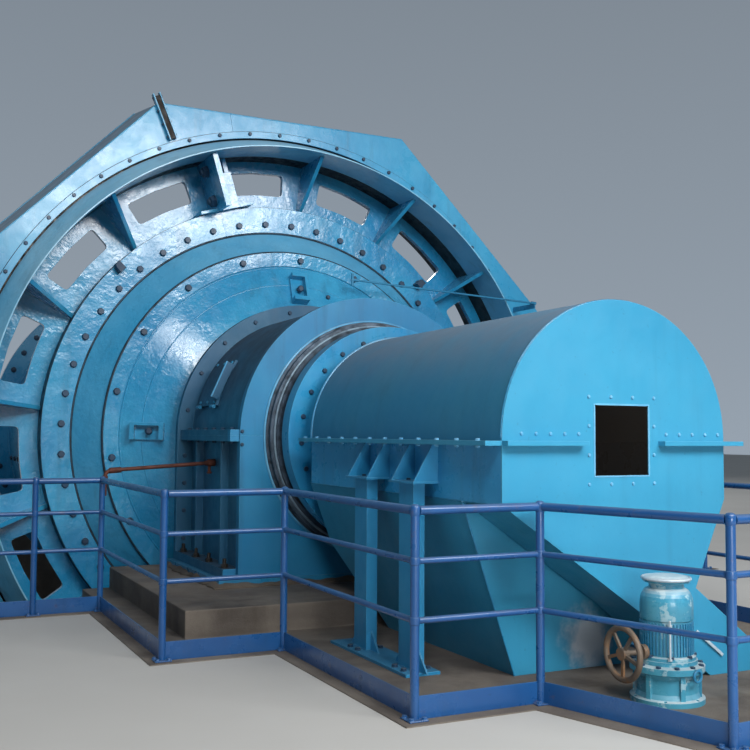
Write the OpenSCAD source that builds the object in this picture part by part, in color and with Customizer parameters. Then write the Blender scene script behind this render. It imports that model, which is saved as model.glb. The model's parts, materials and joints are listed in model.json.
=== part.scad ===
// Overflow ball mill: a drum on two trunnion bearings, turned by a split girth gear
// in an octagonal guard, with a discharge hood, its legs, chutes and a stepped hand rail.
// Millimetres. X across the mill, Y along its axis towards the feed end, Z up.
// Origin on the underside of the foundation, below the mill axis at the discharge bearing.

/* [Setting out] */
// Height of the mill axis above the working floor
axis_above_floor = 1457; // [1350:1:1600]
// Half length of the discharge bearing along the mill axis
bearing_half_len = 820; // [700:10:900]
// Length of the drum between the two heads
shell_len = 6000; // [4500:100:7500]

/* [Drum] */
// Outer radius of the drum shell
shell_r = 2150; // [2050:10:2200]
// Thickness of the drum shell plate
shell_t = 45; // [25:5:60]
// How far the end flanges stand out from the shell
flange_w = 290; // [240:5:320]
// Thickness of each bolted flange of the drum
flange_t = 80; // [50:5:90]
// Inner radius of the bolted ring band on each head
band_r_in = 1826; // [1760:2:1850]
// Width of the bolted ring band on each head
band_w = 144; // [110:2:170]
// Wall of the cast heads
head_wall = 90; // [70:5:110]

/* [Trunnions] */
// Radius of the trunnion journals
journal_r = 850; // [800:5:880]
// Radius of the bore through each trunnion
trunnion_bore_r = 680; // [600:10:700]
// How far the flange at the outer end of each trunnion stands out
trunnion_flange_w = 95; // [70:5:130]
// Thickness of the flange at the outer end of each trunnion
trunnion_flange_t = 150; // [80:10:170]
// Wall of the spout that reaches into the hood
spout_wall = 40; // [20:5:60]
// How far the spout reaches into the hood
spout_reach = 130; // [80:10:150]
// Running clearance of the journals in their saddles
journal_gap = 0.8; // [0.5:0.1:0.9]

/* [Girth gear] */
// How far the gear's bolted flange laps over the drum's flange
gear_lap = 195; // [180:5:205]
// Wall of the gear's hub ring
gear_hub_wall = 80; // [60:5:90]
// Width of the gear's web between hub ring and rim
web_w = 560; // [500:10:580]
// Thickness of the rim under the teeth
rim_t = 210; // [150:10:230]
// Height of the gear's teeth
tooth_h = 60; // [40:5:70]
// Number of teeth of the gear, an even number
teeth = 184; // [160:8:208]
// Face width of the gear
gear_face = 640; // [560:10:680]
// Number of windows in the gear's web, a multiple of four
windows = 16; // [12:4:20]
// Distance from the hub ring to the web windows
window_foot = 185; // [150:5:200]
// Radial height of the web windows
window_h = 250; // [200:10:280]
// Opening angle of each web window
window_angle = 13.6; // [11:0.2:14.4]
// Angle of the gear's split above the horizontal, seen from the discharge end
gear_split_angle = 106.5; // [95:0.5:115]
// Thickness of the gear's web
web_t = 60; // [40:5:80]
// Thickness of the tapered web gussets
gusset_t = 40; // [25:5:50]
// Thickness of the tall bolting lug at the gear's split
lug_t = 55; // [40:5:80]
// Reach of the conical skirt in front of the gear guard
skirt_reach = 375; // [300:5:380]

/* [Gear guard] */
// Running gap between the gear's skirt and the guard's opening
guard_gap = 20; // [10:5:30]
// Distance from the guard's opening to the flats of its front plate
guard_margin = 210; // [180:5:240]
// How much further out the flats of the guard's back plate lie
guard_flare = 130; // [90:10:160]
// Thickness of the guard's plates
guard_t = 12; // [8:1:16]
// Width of the bolted retainer ring around the opening
retainer_w = 70; // [50:5:90]

/* [Bearings] */
// Half width of the bearing housing, also the radius of its arched cap
housing_r = 1238; // [1200:2:1260]
// Radius of the opening in the housing's front plate
housing_open_r = 1018; // [1000:2:1040]
// How far the flange at the drum side of the housing stands out
housing_flange_w = 112; // [80:2:140]
// Thickness of the housing's flanges and front plate
housing_flange_t = 70; // [50:5:90]
// Height of the bearing's sole plate
sole_t = 60; // [40:5:80]

/* [Discharge hood] */
// Radius of the hood's round top and half width of its sides
hood_r = 830; // [810:5:850]
// Length of the hood
hood_len = 2780; // [2600:10:2850]
// Gap from the trunnion flange to the back of the hood
hood_gap = 210; // [150:10:230]
// Thickness of the hood's plates
hood_t = 12; // [8:1:16]
// Height of the hood's vertical sides above the floor where the hoppers start
hood_side_h = 1080; // [1040:5:1120]
// Width of the inspection opening in the hood's front
hatch_w = 410; // [360:10:440]
// Height of the inspection opening in the hood's front
hatch_h = 425; // [380:5:450]
// Length of the front compartment that feeds the side chute
front_bay = 430; // [380:10:480]

/* [Foundation and rail] */
// Height of the bearing plinths above the working floor
plinth_h = 200; // [150:5:260]
// Half width of the bearing plinths
plinth_half_w = 1950; // [1800:10:1970]
// Height of the hand rail above the working floor
rail_h = 1100; // [1050:10:1150]
// Diameter of the rail's posts and top rail
rail_d = 48; // [40:1:55]
// Diameter of the two middle rails
mid_rail_d = 34; // [25:1:40]
// Height of the rail's toe board
toe_h = 120; // [100:5:150]

/* [Hidden] */
$fn = 96;

paint_blue = "#4fb3df";
deep_blue = "#2c6f9e";
rail_blue = "#2b4f9e";
concrete_grey = "#8d867c";
seal_grey = "#6b645c";
motor_teal = "#3f87a0";
rust_brown = "#6e4a36";
far = 20000;

// Gap between pieces that are bolted or fitted face to face
seat = 0.3;

// Radii that follow from one another outwards from the drum
flange_r = shell_r + flange_w;
band_r_out = band_r_in + band_w;
trunnion_flange_r = journal_r + trunnion_flange_w;
spout_r = trunnion_bore_r + spout_wall;
gear_flange_r = flange_r - gear_lap;
gear_hub_r = flange_r + gear_hub_wall;
rim_r_in = gear_hub_r + web_w;
tooth_root_r = rim_r_in + rim_t;
tooth_tip_r = tooth_root_r + tooth_h;
skirt_r = tooth_root_r - 50;
guard_open_r = skirt_r + guard_gap;
guard_front_flat = guard_open_r + guard_margin;
guard_back_flat = guard_front_flat + guard_flare;
housing_flange_r = housing_r + housing_flange_w;

// Heights
floor_z = guard_back_flat - axis_above_floor;
axis_z = floor_z + axis_above_floor;
split_z = axis_z - 30;

// Stations along the mill axis, from the hood to the middle of the drum
bearing_mid_y = 22;
front_y = bearing_mid_y - bearing_half_len;
back_y = bearing_mid_y + bearing_half_len;
seal_len = 130;
seal_y = front_y - seal_len;
flange_y = seal_y - 80;
spout_y = flange_y - trunnion_flange_t;
hood_back_y = spout_y - hood_gap;
hood_front_y = hood_back_y - hood_len;
spout_end_y = hood_back_y - spout_reach;
neck_y = back_y + 108;
band_y = neck_y + 287;
band_t = 60;
gear_y = band_y + 300;
head_flange_y = gear_y + flange_t;
shell_y = head_flange_y + flange_t;
mid_y = shell_y + shell_len / 2;
web_y = gear_y + 213;
guard_y = gear_y - 112;
rim_y = guard_y + 75;
guard_depth = gear_face + 240;
skirt_y = guard_y - skirt_reach;

// Foundation plan and the hand rail's corners on it
wing_y = -300;
rail_x_left = -2270;
rail_x_step = -1430;
rail_x_front = -640;
rail_x_right = 2270;
rail_y_step = -2350;
rail_y_front = -5310;
rail_x_corner = -300;
rail_wing = 2130;
rail_y_hood = hood_front_y - 92;
rail_pts = [
  [rail_x_left - rail_wing, wing_y], [rail_x_left, wing_y], [rail_x_left, rail_y_step],
  [rail_x_step, rail_y_step], [rail_x_step, rail_y_hood], [rail_x_front, rail_y_hood],
  [rail_x_corner, rail_y_front], [rail_x_right, rail_y_front], [rail_x_right, wing_y],
  [rail_x_right + rail_wing, wing_y]
];
rail_bays = [4, 1, 1, 1, 1, 1, 2, 3, 1];
mid_rail_shares = [0.46, 0.74];
kerb = 100;
plinth_front_y = -1750;
plinth_overhang = 50;
wing_t = 400;
pier_half_w = 2190;

// Places that follow the axis of the mill
module on_axis() translate([0, 0, axis_z]) children();
module turned(a) rotate([0, -a, 0]) children();
module along_y(y0, y1) translate([0, y1, 0]) rotate([90, 0, 0]) linear_extrude(y1 - y0) children();
module revolved(profile) on_axis() rotate([-90, 0, 0]) rotate_extrude($fn = 180) polygon(profile);
module drum_y(r, y0, y1) on_axis() translate([0, y0, 0]) rotate([-90, 0, 0]) cylinder(r = r, h = y1 - y0, $fn = 180);
module at_feed_end() translate([0, 2 * mid_y, 0]) mirror([0, 1, 0]) children();
module above(z) intersection() {
  children();
  translate([-far / 2, -far / 2, z]) cube([far, far, far]);
}
module below(z) intersection() {
  children();
  translate([-far / 2, -far / 2, z - far]) cube([far, far, far]);
}

function polar(r, a) = [r * cos(a), r * sin(a)];
function mix(a, b, t) = a * (1 - t) + b * t;
// Corner of a plate rounded by a short curve that starts a distance d before it
function eased(a, p, b, d, n) = [
  for (i = [0 : n]) let(
    s = p + (a - p) * d / norm(a - p),
    e = p + (b - p) * d / norm(b - p),
    t = i / n
  ) mix(mix(s, p, t), mix(p, e, t), t)
];
function rounded(pts, d, n = 3) = [
  for (i = [0 : len(pts) - 1])
    for (q = eased(pts[(i + len(pts) - 1) % len(pts)], pts[i], pts[(i + 1) % len(pts)], d, n)) q
];
function octagon(flat) = [for (k = [0 : 7]) polar(flat / cos(22.5), 22.5 + 45 * k)];

// Concrete
shaft_wall = 25;
module foundation_block() color(concrete_grey) {
  difference() {
    linear_extrude(floor_z) foundation_plan();
    translate([-hopper_foot_w / 2 + hood_t, hopper_foot_y + hood_t, -1])
      cube([hopper_foot_w - 2 * hood_t, hopper_foot_len - 2 * hood_t, floor_z + 2]);
    translate([chute_foot[0] + shaft_wall, hood_front_y + hood_t, -1])
      cube([chute_foot[1] - chute_foot[0] - 2 * shaft_wall, front_bay - 2 * hood_t, floor_z + 2]);
  }
  translate([-plinth_half_w, plinth_front_y, floor_z])
    cube([2 * plinth_half_w, back_y + plinth_overhang - plinth_front_y, plinth_h]);
}

// The plan follows the hand rail, a kerb's width outside it
module foundation_plan() {
  offset_plan = [for (i = [0 : len(rail_pts) - 1])
    [rail_pts[i].x + (i < 7 ? -kerb : kerb), rail_pts[i].y - kerb]];
  polygon(concat(offset_plan, [
    [offset_plan[9].x, offset_plan[9].y + wing_t], [pier_half_w, offset_plan[8].y + wing_t],
    [pier_half_w, back_y + kerb], [-pier_half_w, back_y + kerb],
    [-pier_half_w, offset_plan[1].y + wing_t], [offset_plan[0].x, offset_plan[0].y + wing_t]
  ]));
}

module feed_pier() at_feed_end() color(concrete_grey) {
  translate([-pier_half_w, seal_y, 0]) cube([2 * pier_half_w, back_y + kerb - seal_y, floor_z]);
  translate([-plinth_half_w, seal_y + kerb, floor_z])
    cube([2 * plinth_half_w, back_y + plinth_overhang - seal_y - kerb, plinth_h]);
}

// Trunnion bearing, drawn for the discharge end
sole_margin = 60;
bearing_foot_z = floor_z + plinth_h + sole_t;
module bearing_block(half_w, y0, y1, z0, z1) translate([-half_w, y0, z0]) cube([2 * half_w, y1 - y0, z1 - z0]);
module sole_plate() color(deep_blue)
  bearing_block(housing_flange_r + sole_margin, front_y - 20, back_y + 20, bearing_foot_z - sole_t, bearing_foot_z);

module bearing_bore() {
  drum_y(housing_open_r, front_y - 1, bearing_mid_y - saddle_half_len);
  drum_y(journal_r + journal_gap, front_y, back_y);
  drum_y(housing_open_r, bearing_mid_y + saddle_half_len, back_y + 1);
}
saddle_half_len = 400;
housing_step = 40;
split_flange_w = 80;
split_flange_t = 50;
foot_t = 80;
rib_t = 40;
module split_flange(z) for (s = [-1, 1])
  translate([s * (housing_r + split_flange_w / 2 - housing_step) - split_flange_w, front_y + 20, z])
    cube([2 * split_flange_w, back_y - front_y - housing_flange_t - 20, split_flange_t]);

module bearing_base() color(paint_blue) difference() {
  union() {
    bearing_block(housing_r, front_y, front_y + housing_flange_t, bearing_foot_z, axis_z);
    bearing_block(housing_r - housing_step, front_y + 1, back_y - 1, bearing_foot_z, axis_z);
    bearing_block(housing_flange_r, back_y - housing_flange_t, back_y, bearing_foot_z, axis_z);
    bearing_block(housing_flange_r, front_y + housing_flange_t - 1, back_y - 1, bearing_foot_z, bearing_foot_z + foot_t);
    split_flange(axis_z - split_flange_t);
    for (y = [bearing_mid_y - saddle_half_len, bearing_mid_y + saddle_half_len - rib_t])
      bearing_block(housing_r + 30, y, y + rib_t, bearing_foot_z + 1, axis_z - split_flange_t + 1);
  }
  bearing_bore();
}

module bearing_cap() color(paint_blue) above(axis_z) difference() {
  union() {
    drum_y(housing_r, front_y, front_y + housing_flange_t);
    drum_y(housing_r - housing_step, front_y + 1, back_y - 1);
    drum_y(housing_flange_r, back_y - housing_flange_t, back_y);
    split_flange(axis_z);
  }
  drum_y(housing_open_r, front_y - 1, back_y + 1);
}

module seal_ring() color(seal_grey) revolved([
  [housing_open_r, front_y + 30], [housing_open_r, front_y - 25], [housing_open_r - 30, front_y - 35],
  [housing_open_r - 30, front_y - 50], [housing_open_r - 14, front_y - 56], [housing_open_r - 14, front_y - 88],
  [housing_open_r - 55, front_y - 96], [housing_open_r - 55, seal_y], [journal_r + 30, seal_y],
  [journal_r + 30, front_y + 30]
]);

// Curved inspection cover on the flank of the cap, with a lip to lift it by
door_angle = 156;
door_w = 22;
door_y = bearing_mid_y + 28;
door_len = 570;
door_t = 26;
module bearing_door() color(deep_blue) on_axis() {
  r = housing_r - housing_step + seat;
  difference() {
    intersection() {
      translate([0, door_y, 0]) rotate([-90, 0, 0]) cylinder(r = r + door_t, h = door_len, $fn = 180);
      along_y(door_y - 1, door_y + door_len + 1) polygon(concat([[0, 0]], [
        for (k = [-1, 1]) polar(1.2 * r, door_angle + k * door_w / 2)
      ]));
    }
    translate([0, door_y - 1, 0]) rotate([-90, 0, 0]) cylinder(r = r, h = door_len + 2, $fn = 180);
  }
  turned(door_angle) translate([r + 6, door_y - 14, -180]) cube([70, 14, 360]);
}

// Octagonal gear guard
module guard_plate(flat, y0) along_y(y0, y0 + guard_t) translate([0, axis_z]) difference() {
  polygon(octagon(flat));
  circle(r = guard_open_r, $fn = 180);
}
// Pair of upright flanges where two sections of the guard meet at a corner
joint_gap = 70;
joint_proud = 60;
joint_reach = 95;
module guard_joint(a) on_axis() turned(a) for (s = [-1, 1])
  translate([guard_open_r + retainer_w + 20, guard_y - joint_proud, s * joint_gap / 2 - guard_t / 2])
    cube([guard_front_flat / cos(22.5) + joint_reach - guard_open_r - retainer_w - 20, joint_proud, guard_t]);
module guard_front() color(paint_blue) {
  guard_plate(guard_front_flat, guard_y);
  for (a = [22.5 : 90 : 292.5]) guard_joint(a);
}
module guard_back() color(paint_blue) guard_plate(guard_back_flat, guard_y + guard_depth);
module guard_frustum(inset, grow) hull() {
  along_y(guard_y + guard_t - grow, guard_y + guard_t - grow + 1) translate([0, axis_z])
    polygon(octagon(guard_front_flat - inset));
  along_y(guard_y + guard_depth + grow - 1, guard_y + guard_depth + grow) translate([0, axis_z])
    polygon(octagon(guard_back_flat - inset));
}
module guard_wrap() color(deep_blue) difference() {
  guard_frustum(0, 0);
  guard_frustum(guard_t, 2);
}
module guard_retainer_ring() color(paint_blue) difference() {
  drum_y(guard_open_r + retainer_w, guard_y - 10, guard_y);
  drum_y(guard_open_r, guard_y - 11, guard_y + 1);
}

// Discharge hood, whose outline is a half circle on straight sides
hood_side_z = floor_z + hood_side_h;
spout_gap = 40;
module hood_arch(r, drop) {
  translate([0, axis_z]) intersection() {
    circle(r = r, $fn = 120);
    translate([-r, 0]) square([2 * r, r]);
  }
  translate([-r, split_z - drop]) square([2 * r, axis_z - split_z + drop + 1]);
}
module hood_shell() color(deep_blue) difference() {
  along_y(hood_front_y + hood_t, hood_back_y) hood_arch(hood_r, 0);
  along_y(hood_front_y, hood_back_y + 1) hood_arch(hood_r - hood_t, 1);
}
// Left and right end of the side chute's mouth, and the face's outline in x and height above the floor
chute_foot = [695, 1290];
chute_pts = [
  [-hood_r, hood_side_h], [156, 415], [chute_foot[0], 0], [chute_foot[1], 0], [586, 540], [hood_r, hood_side_h]
];
hatch_x = 20;
hatch_drop = 12;
module hood_front_plate() color(paint_blue) {
  along_y(hood_front_y, hood_front_y + hood_t) difference() {
    union() {
      hood_arch(hood_r, split_z - hood_side_z);
      translate([0, floor_z]) polygon(chute_pts);
    }
    translate([hatch_x - hatch_w / 2, axis_z - hatch_drop - hatch_h / 2]) square([hatch_w, hatch_h]);
  }
  along_y(hood_front_y - 10, hood_front_y + 1) translate([0, floor_z])
    polygon([[583, 265], [592, 281], [790, 130], [778, 114]]);
}
module hood_lower_body() color(deep_blue) for (s = [-1, 1])
  translate([s > 0 ? hood_r - hood_t : -hood_r, hood_front_y + hood_t, hood_side_z])
    cube([hood_t, hood_len - 2 * hood_t, split_z - hood_side_z]);
module spout_hole() drum_y(spout_r + spout_gap, hood_back_y - 3 * hood_t, hood_back_y + 100);
module hood_back_plate() color(deep_blue) difference() {
  union() {
    along_y(hood_back_y - hood_t, hood_back_y) hood_arch(hood_r - hood_t - seat, split_z - hood_side_z);
    intersection() {
      drum_y(spout_r + spout_gap + 12, hood_back_y - 1, hood_back_y + 60);
      translate([-far / 2, -far / 2, hood_side_z]) cube([far, far, far]);
    }
  }
  spout_hole();
}
module hood_flange() color(paint_blue) {
  for (s = [-1, 1])
    translate([s > 0 ? hood_r : -hood_r - flange_bar_w, hood_front_y, split_z - flange_bar_t / 2])
      cube([flange_bar_w, hood_len, flange_bar_t]);
  for (b = front_bars)
    translate([b[0], hood_front_y - front_bar_d, split_z - flange_bar_t / 2]) cube([b[1] - b[0], front_bar_d, flange_bar_t]);
}
flange_bar_w = 110;
flange_bar_t = 28;
front_bar_d = 60;
front_bars = [[-hood_r, -270], [300, hood_r + flange_bar_w]];
module chute_outline(inset) translate([0, floor_z]) offset(delta = -inset) polygon(chute_pts);
module reject_chute() color(paint_blue) difference() {
  along_y(hood_front_y + hood_t, hood_front_y + front_bay) chute_outline(0);
  along_y(hood_front_y, hood_front_y + front_bay - hood_t) chute_outline(hood_t);
  translate([-hood_r + hood_t, hood_front_y, hood_side_z - hood_t - 1])
    cube([2 * hood_r - 2 * hood_t, front_bay - hood_t, hood_t + 2]);
  translate([chute_foot[0] + shaft_wall, hood_front_y, floor_z - 1])
    cube([chute_foot[1] - chute_foot[0] - 2 * shaft_wall, front_bay - hood_t, hood_t + 2]);
}
// The hopper goes straight down behind the spout, then slopes to its foot in front of the plinth
hopper_y = hood_front_y + front_bay;
hopper_foot_w = 840;
hopper_foot_y = hopper_y + 60;
// The foot ends in front of the plinth, and the rear slope passes over the plinth's edge
plinth_clear = 12;
hopper_foot_end = plinth_front_y - 210;
hopper_foot_len = hopper_foot_end - hopper_foot_y;
hopper_rear_h = plinth_h * (hood_back_y - hopper_foot_end) / (plinth_front_y - plinth_clear - hopper_foot_end);
hopper_rear_w = mix(hopper_foot_w, 2 * hood_r, hopper_rear_h / hood_side_h);
module hopper_slab(w, y0, y1, z, inset) translate([-w / 2 + inset, y0 + inset, z])
  cube([w - 2 * inset, y1 - y0 - 2 * inset, 1]);
module hopper_form(inset, grow) hull() {
  hopper_slab(2 * hood_r, hopper_y, hood_back_y, hood_side_z - 1 + grow, inset);
  hopper_slab(hopper_rear_w, hopper_y + 40, hood_back_y, floor_z + hopper_rear_h, inset);
  hopper_slab(hopper_foot_w, hopper_foot_y, hopper_foot_y + hopper_foot_len, floor_z - grow, inset);
}
module discharge_hopper() color(deep_blue) difference() {
  hopper_form(0, 0);
  hopper_form(hood_t, 2);
  spout_hole();
}
// Legs under the hood's side flanges, each with a shelf, two gussets and two foot ribs
leg_x = 930;
leg_ys = [hood_front_y + 877, hood_front_y + 1540];
leg_w = 80;
leg_d = 190;
leg_h = 1170;
shelf_w = 180;
shelf_t = 12;
base_t = 20;
foot_rib = 130;
module hood_legs(s) color(deep_blue) {
  translate([s * leg_x - 120, leg_ys[0] - 157, floor_z]) cube([240, leg_ys[1] - leg_ys[0] + 477, base_t]);
  for (y = leg_ys) {
    translate([s * leg_x - leg_w / 2, y - leg_d / 2, floor_z + base_t]) cube([leg_w, leg_d, leg_h - base_t]);
    translate([s > 0 ? hood_r : -hood_r - shelf_w, y - 170, floor_z + leg_h]) cube([shelf_w, 340, shelf_t]);
    for (g = [-150, 150])
      along_y(y + g - shelf_t / 2, y + g + shelf_t / 2) polygon([
        [s * hood_r, floor_z + leg_h + shelf_t], [s * (hood_r + shelf_w - 10), floor_z + leg_h + shelf_t],
        [s * (hood_r + 40), split_z - flange_bar_t / 2], [s * hood_r, split_z - flange_bar_t / 2]
      ]);
    for (e = [-1, 1]) translate([s * leg_x - 6, y + e * leg_d / 2, floor_z + base_t])
      rotate([90, 0, 90]) linear_extrude(12) polygon([[-e, 0], [e * foot_rib * 0.9, 0], [-e, foot_rib]]);
  }
}

// Lubrication pump set beside the hood
pump_x = 50;
pump_y = hood_front_y - 330;
pump_r = 190;
motor_r = 146;
motor_z = 235;
module at_pump(z) translate([pump_x, pump_y, floor_z + z]) children();
module pump_body() color(motor_teal) at_pump(0) difference() {
  union() {
    rotate_extrude() polygon([
      [0, 0], [pump_r + 15, 0], [pump_r + 15, 28], [pump_r - 10, 34], [pump_r - 22, 60], [pump_r - 22, 140],
      [pump_r, 165], [pump_r + 15, 172], [pump_r + 15, 205], [motor_r + 20, 212], [motor_r + 20, motor_z], [0, motor_z]
    ]);
    for (k = [0 : 5]) rotate(60 * k + 15) translate([pump_r - 30, -14, 30]) cube([26, 28, 140]);
  }
  for (k = [0 : 5]) rotate(60 * k + 45) translate([pump_r + 1, 0, -1]) cylinder(r = 9, h = 40, $fn = 24);
}
module pump_motor() color(motor_teal) at_pump(motor_z) rotate_extrude() polygon(concat([
  [0, 0], [motor_r + 12, 0], [motor_r + 12, 18], [motor_r - 6, 24], [motor_r - 6, 212], [motor_r, 218], [motor_r, 300]
], [for (a = [15 : 15 : 75]) [motor_r - 50 + 50 * cos(a), 300 + 88 * sin(a)]], [
  [motor_r - 50, 388], [motor_r - 50, 412], [motor_r - 20, 420], [motor_r - 16, 442], [motor_r - 50, 456], [0, 460]
]));
wheel_x = pump_x - pump_r - 122;
wheel_r = 140;
wheel_z = 280;
wheel_flange_r = 40;
module pump_valve() color(rust_brown) translate([wheel_x, pump_y, floor_z + wheel_z]) rotate([0, 90, 0]) {
  rotate_extrude() translate([wheel_r, 0]) circle(r = 17, $fn = 20);
  cylinder(r = 34, h = 40, center = true);
  for (k = [0 : 4]) rotate(72 * k) translate([20, -9, -7]) cube([wheel_r - 24, 18, 14]);
  cylinder(r = 15, h = wheel_stem);
  translate([0, 0, wheel_stem - 30]) cylinder(r = wheel_flange_r, h = 30);
}
wheel_stem = pump_x - wheel_x - motor_r - 12 - seat;

// Hand rail
toe_t = 8;
module bar(p, q, d, r0) {
  run = norm(q - p);
  translate(p) rotate([0, 0, atan2(q.y - p.y, q.x - p.x)]) translate([r0, 0, 0])
    rotate([0, 90, 0]) cylinder(d = d, h = run - 2 * r0, $fn = 24);
}
module rail_run(i) color(rail_blue) {
  a = rail_pts[i];
  b = rail_pts[i + 1];
  n = rail_bays[i];
  last = i == len(rail_bays) - 1 ? n : n - 1;
  for (k = [0 : last]) translate([mix(a, b, k / n).x, mix(a, b, k / n).y, floor_z])
    cylinder(d = rail_d, h = rail_h, $fn = 24);
  for (k = [0 : n - 1]) {
    p = mix(a, b, k / n);
    q = mix(a, b, (k + 1) / n);
    bar([p.x, p.y, floor_z + rail_h - rail_d / 2], [q.x, q.y, floor_z + rail_h - rail_d / 2], rail_d, rail_d / 2);
    for (h = mid_rail_shares)
      bar([p.x, p.y, floor_z + rail_h * h], [q.x, q.y, floor_z + rail_h * h], mid_rail_d, rail_d / 2);
    translate([p.x, p.y, floor_z]) rotate([0, 0, atan2(q.y - p.y, q.x - p.x)])
      translate([rail_d / 2, -toe_t / 2, 0]) cube([norm(q - p) - rail_d, toe_t, toe_h]);
  }
}

// Drum
module mill_shell() color(paint_blue) difference() {
  drum_y(shell_r, shell_y, shell_y + shell_len);
  drum_y(shell_r - shell_t, shell_y - 1, shell_y + shell_len + 1);
}
module shell_flange() color(paint_blue) difference() {
  drum_y(flange_r, shell_y, shell_y + flange_t);
  drum_y(shell_r + seat, shell_y - 1, shell_y + flange_t + 1);
}
// Cone with the trunnion's seat and the ring band that bolts it to the end ring
neck_r = 1100;
lift_lug_r = 1400;
lift_lug = [330, 170, 110];
module mill_head() color(paint_blue) {
  revolved([
    [trunnion_flange_r + seat, neck_y], [neck_r, neck_y], [band_r_in, band_y + 13], [band_r_in, band_y],
    [band_r_out, band_y], [band_r_out, band_y + band_t - seat], [band_r_in - 10, band_y + band_t - seat],
    [band_r_in - 10, band_y + head_wall + 20], [trunnion_flange_r + seat, neck_y + head_wall + 40]
  ]);
  for (k = [0 : 3]) on_axis() turned(88.7 + 90 * k) lifting_lug();
}
cone_slope = atan2(band_y + 13 - neck_y, band_r_in - neck_r);
module lifting_lug() translate([lift_lug_r, neck_y + (lift_lug_r - neck_r) * tan(cone_slope), -lift_lug.y / 2])
  rotate([0, 0, cone_slope]) difference() {
    translate([0, -lift_lug.z, 0]) cube([lift_lug.x, lift_lug.z + 30, lift_lug.y]);
    translate([45, -lift_lug.z - 1, 30]) cube([lift_lug.x - 90, lift_lug.z - 30, lift_lug.y]);
  }
module end_ring() color(paint_blue) revolved([
  [band_r_out + seat, band_y + 22], [gear_flange_r - 10, gear_y + 20], [gear_flange_r - 10, head_flange_y],
  [flange_r, head_flange_y], [flange_r, shell_y - seat], [shell_r - shell_t, shell_y - seat],
  [band_r_in, band_y + head_wall + 60], [band_r_in, band_y + band_t], [band_r_out + seat, band_y + band_t]
]);
module trunnion() color(paint_blue) revolved([
  [trunnion_bore_r, spout_end_y], [spout_r, spout_end_y], [spout_r, spout_y],
  [trunnion_flange_r, spout_y], [trunnion_flange_r, flange_y], [journal_r, flange_y],
  [journal_r, neck_y - 60], [trunnion_flange_r, neck_y - 10], [trunnion_flange_r, neck_y + head_wall + 40],
  [trunnion_bore_r, neck_y + head_wall + 40]
]);

// Girth gear, drawn about the axis with its split on the horizontal
tooth_pitch = 360 / teeth;
tooth_pts = [
  for (i = [0 : teeth / 2 - 1]) for (q = [
    [tooth_root_r, 0], [tooth_root_r, 0.22], [tooth_tip_r, 0.38], [tooth_tip_r, 0.62], [tooth_root_r, 0.78]
  ]) polar(q[0], (i + q[1]) * tooth_pitch)
];
window_pitch = 360 / windows;
window_r_in = gear_hub_r + window_foot;
window_r_out = window_r_in + window_h;
window_pts = rounded([
  polar(window_r_in, -window_angle / 2), polar(window_r_out, -window_angle / 2), polar(window_r_out, 0),
  polar(window_r_out, window_angle / 2), polar(window_r_in, window_angle / 2), polar(window_r_in, 0)
], 45);
module half_ring(r_out, r_in, y0, y1) difference() {
  intersection() {
    translate([0, y0, 0]) rotate([-90, 0, 0]) cylinder(r = r_out, h = y1 - y0, $fn = 180);
    translate([-far / 2, y0 - 1, 0]) cube([far, y1 - y0 + 2, far]);
  }
  translate([0, y0 - 1, 0]) rotate([-90, 0, 0]) cylinder(r = r_in, h = y1 - y0 + 2, $fn = 180);
}
module rim_half() difference() {
  along_y(rim_y, rim_y + gear_face) polygon(concat(tooth_pts, [polar(tooth_root_r, 180)]));
  translate([0, rim_y - 1, 0]) rotate([-90, 0, 0]) cylinder(r = rim_r_in, h = gear_face + 2, $fn = 180);
}
// Web with its windows, hub ring, bolted flange, gussets on both faces and the lugs of the split
web_back_y = web_y + web_t;
gusset_y = skirt_y + 100;
gusset_r = rim_r_in - 0.5;
hub_ring_t = 70;
module web_half() {
  difference() {
    half_ring(rim_r_in - seat, gear_hub_r - 5, web_y, web_back_y);
    for (k = [0 : windows / 2 - 1])
      along_y(web_y - 1, web_back_y + 1) rotate((k + 0.5) * window_pitch) polygon(window_pts);
  }
  half_ring(gear_hub_r, gear_hub_r - hub_ring_t, gear_y, web_back_y);
  half_ring(gear_hub_r - hub_ring_t + 5, gear_flange_r, gear_y, gear_y + flange_t - seat);
  for (k = [1 : windows / 2 - 1]) turned(k * window_pitch) {
    web_gusset(web_y, gusset_y, -1);
    web_gusset(web_back_y, rim_y + gear_face - 40, 1);
  }
  tall_lug();
  mirror([1, 0, 0]) low_lug();
}
module web_gusset(y_web, y_rim, side) translate([0, 0, -gusset_t / 2]) linear_extrude(gusset_t) polygon([
  [gear_hub_r - 2, y_web - side], [gear_hub_r - 2, y_web + 60 * side], [gusset_r, y_rim], [gusset_r, y_web - side]
]);
// The lugs' pads lie on the hub ring and reach along it
lug_len = rim_r_in - gear_hub_r - 2;
low_lug_y = web_y - 300;
pad_t = 30;
module tall_lug() {
  translate([gear_hub_r - 2, gusset_y, 0]) cube([lug_len, web_y + 1 - gusset_y, lug_t]);
  translate([gear_hub_r - 2, low_lug_y, 0]) cube([pad_t, web_y + 1 - low_lug_y, 240]);
}
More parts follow.
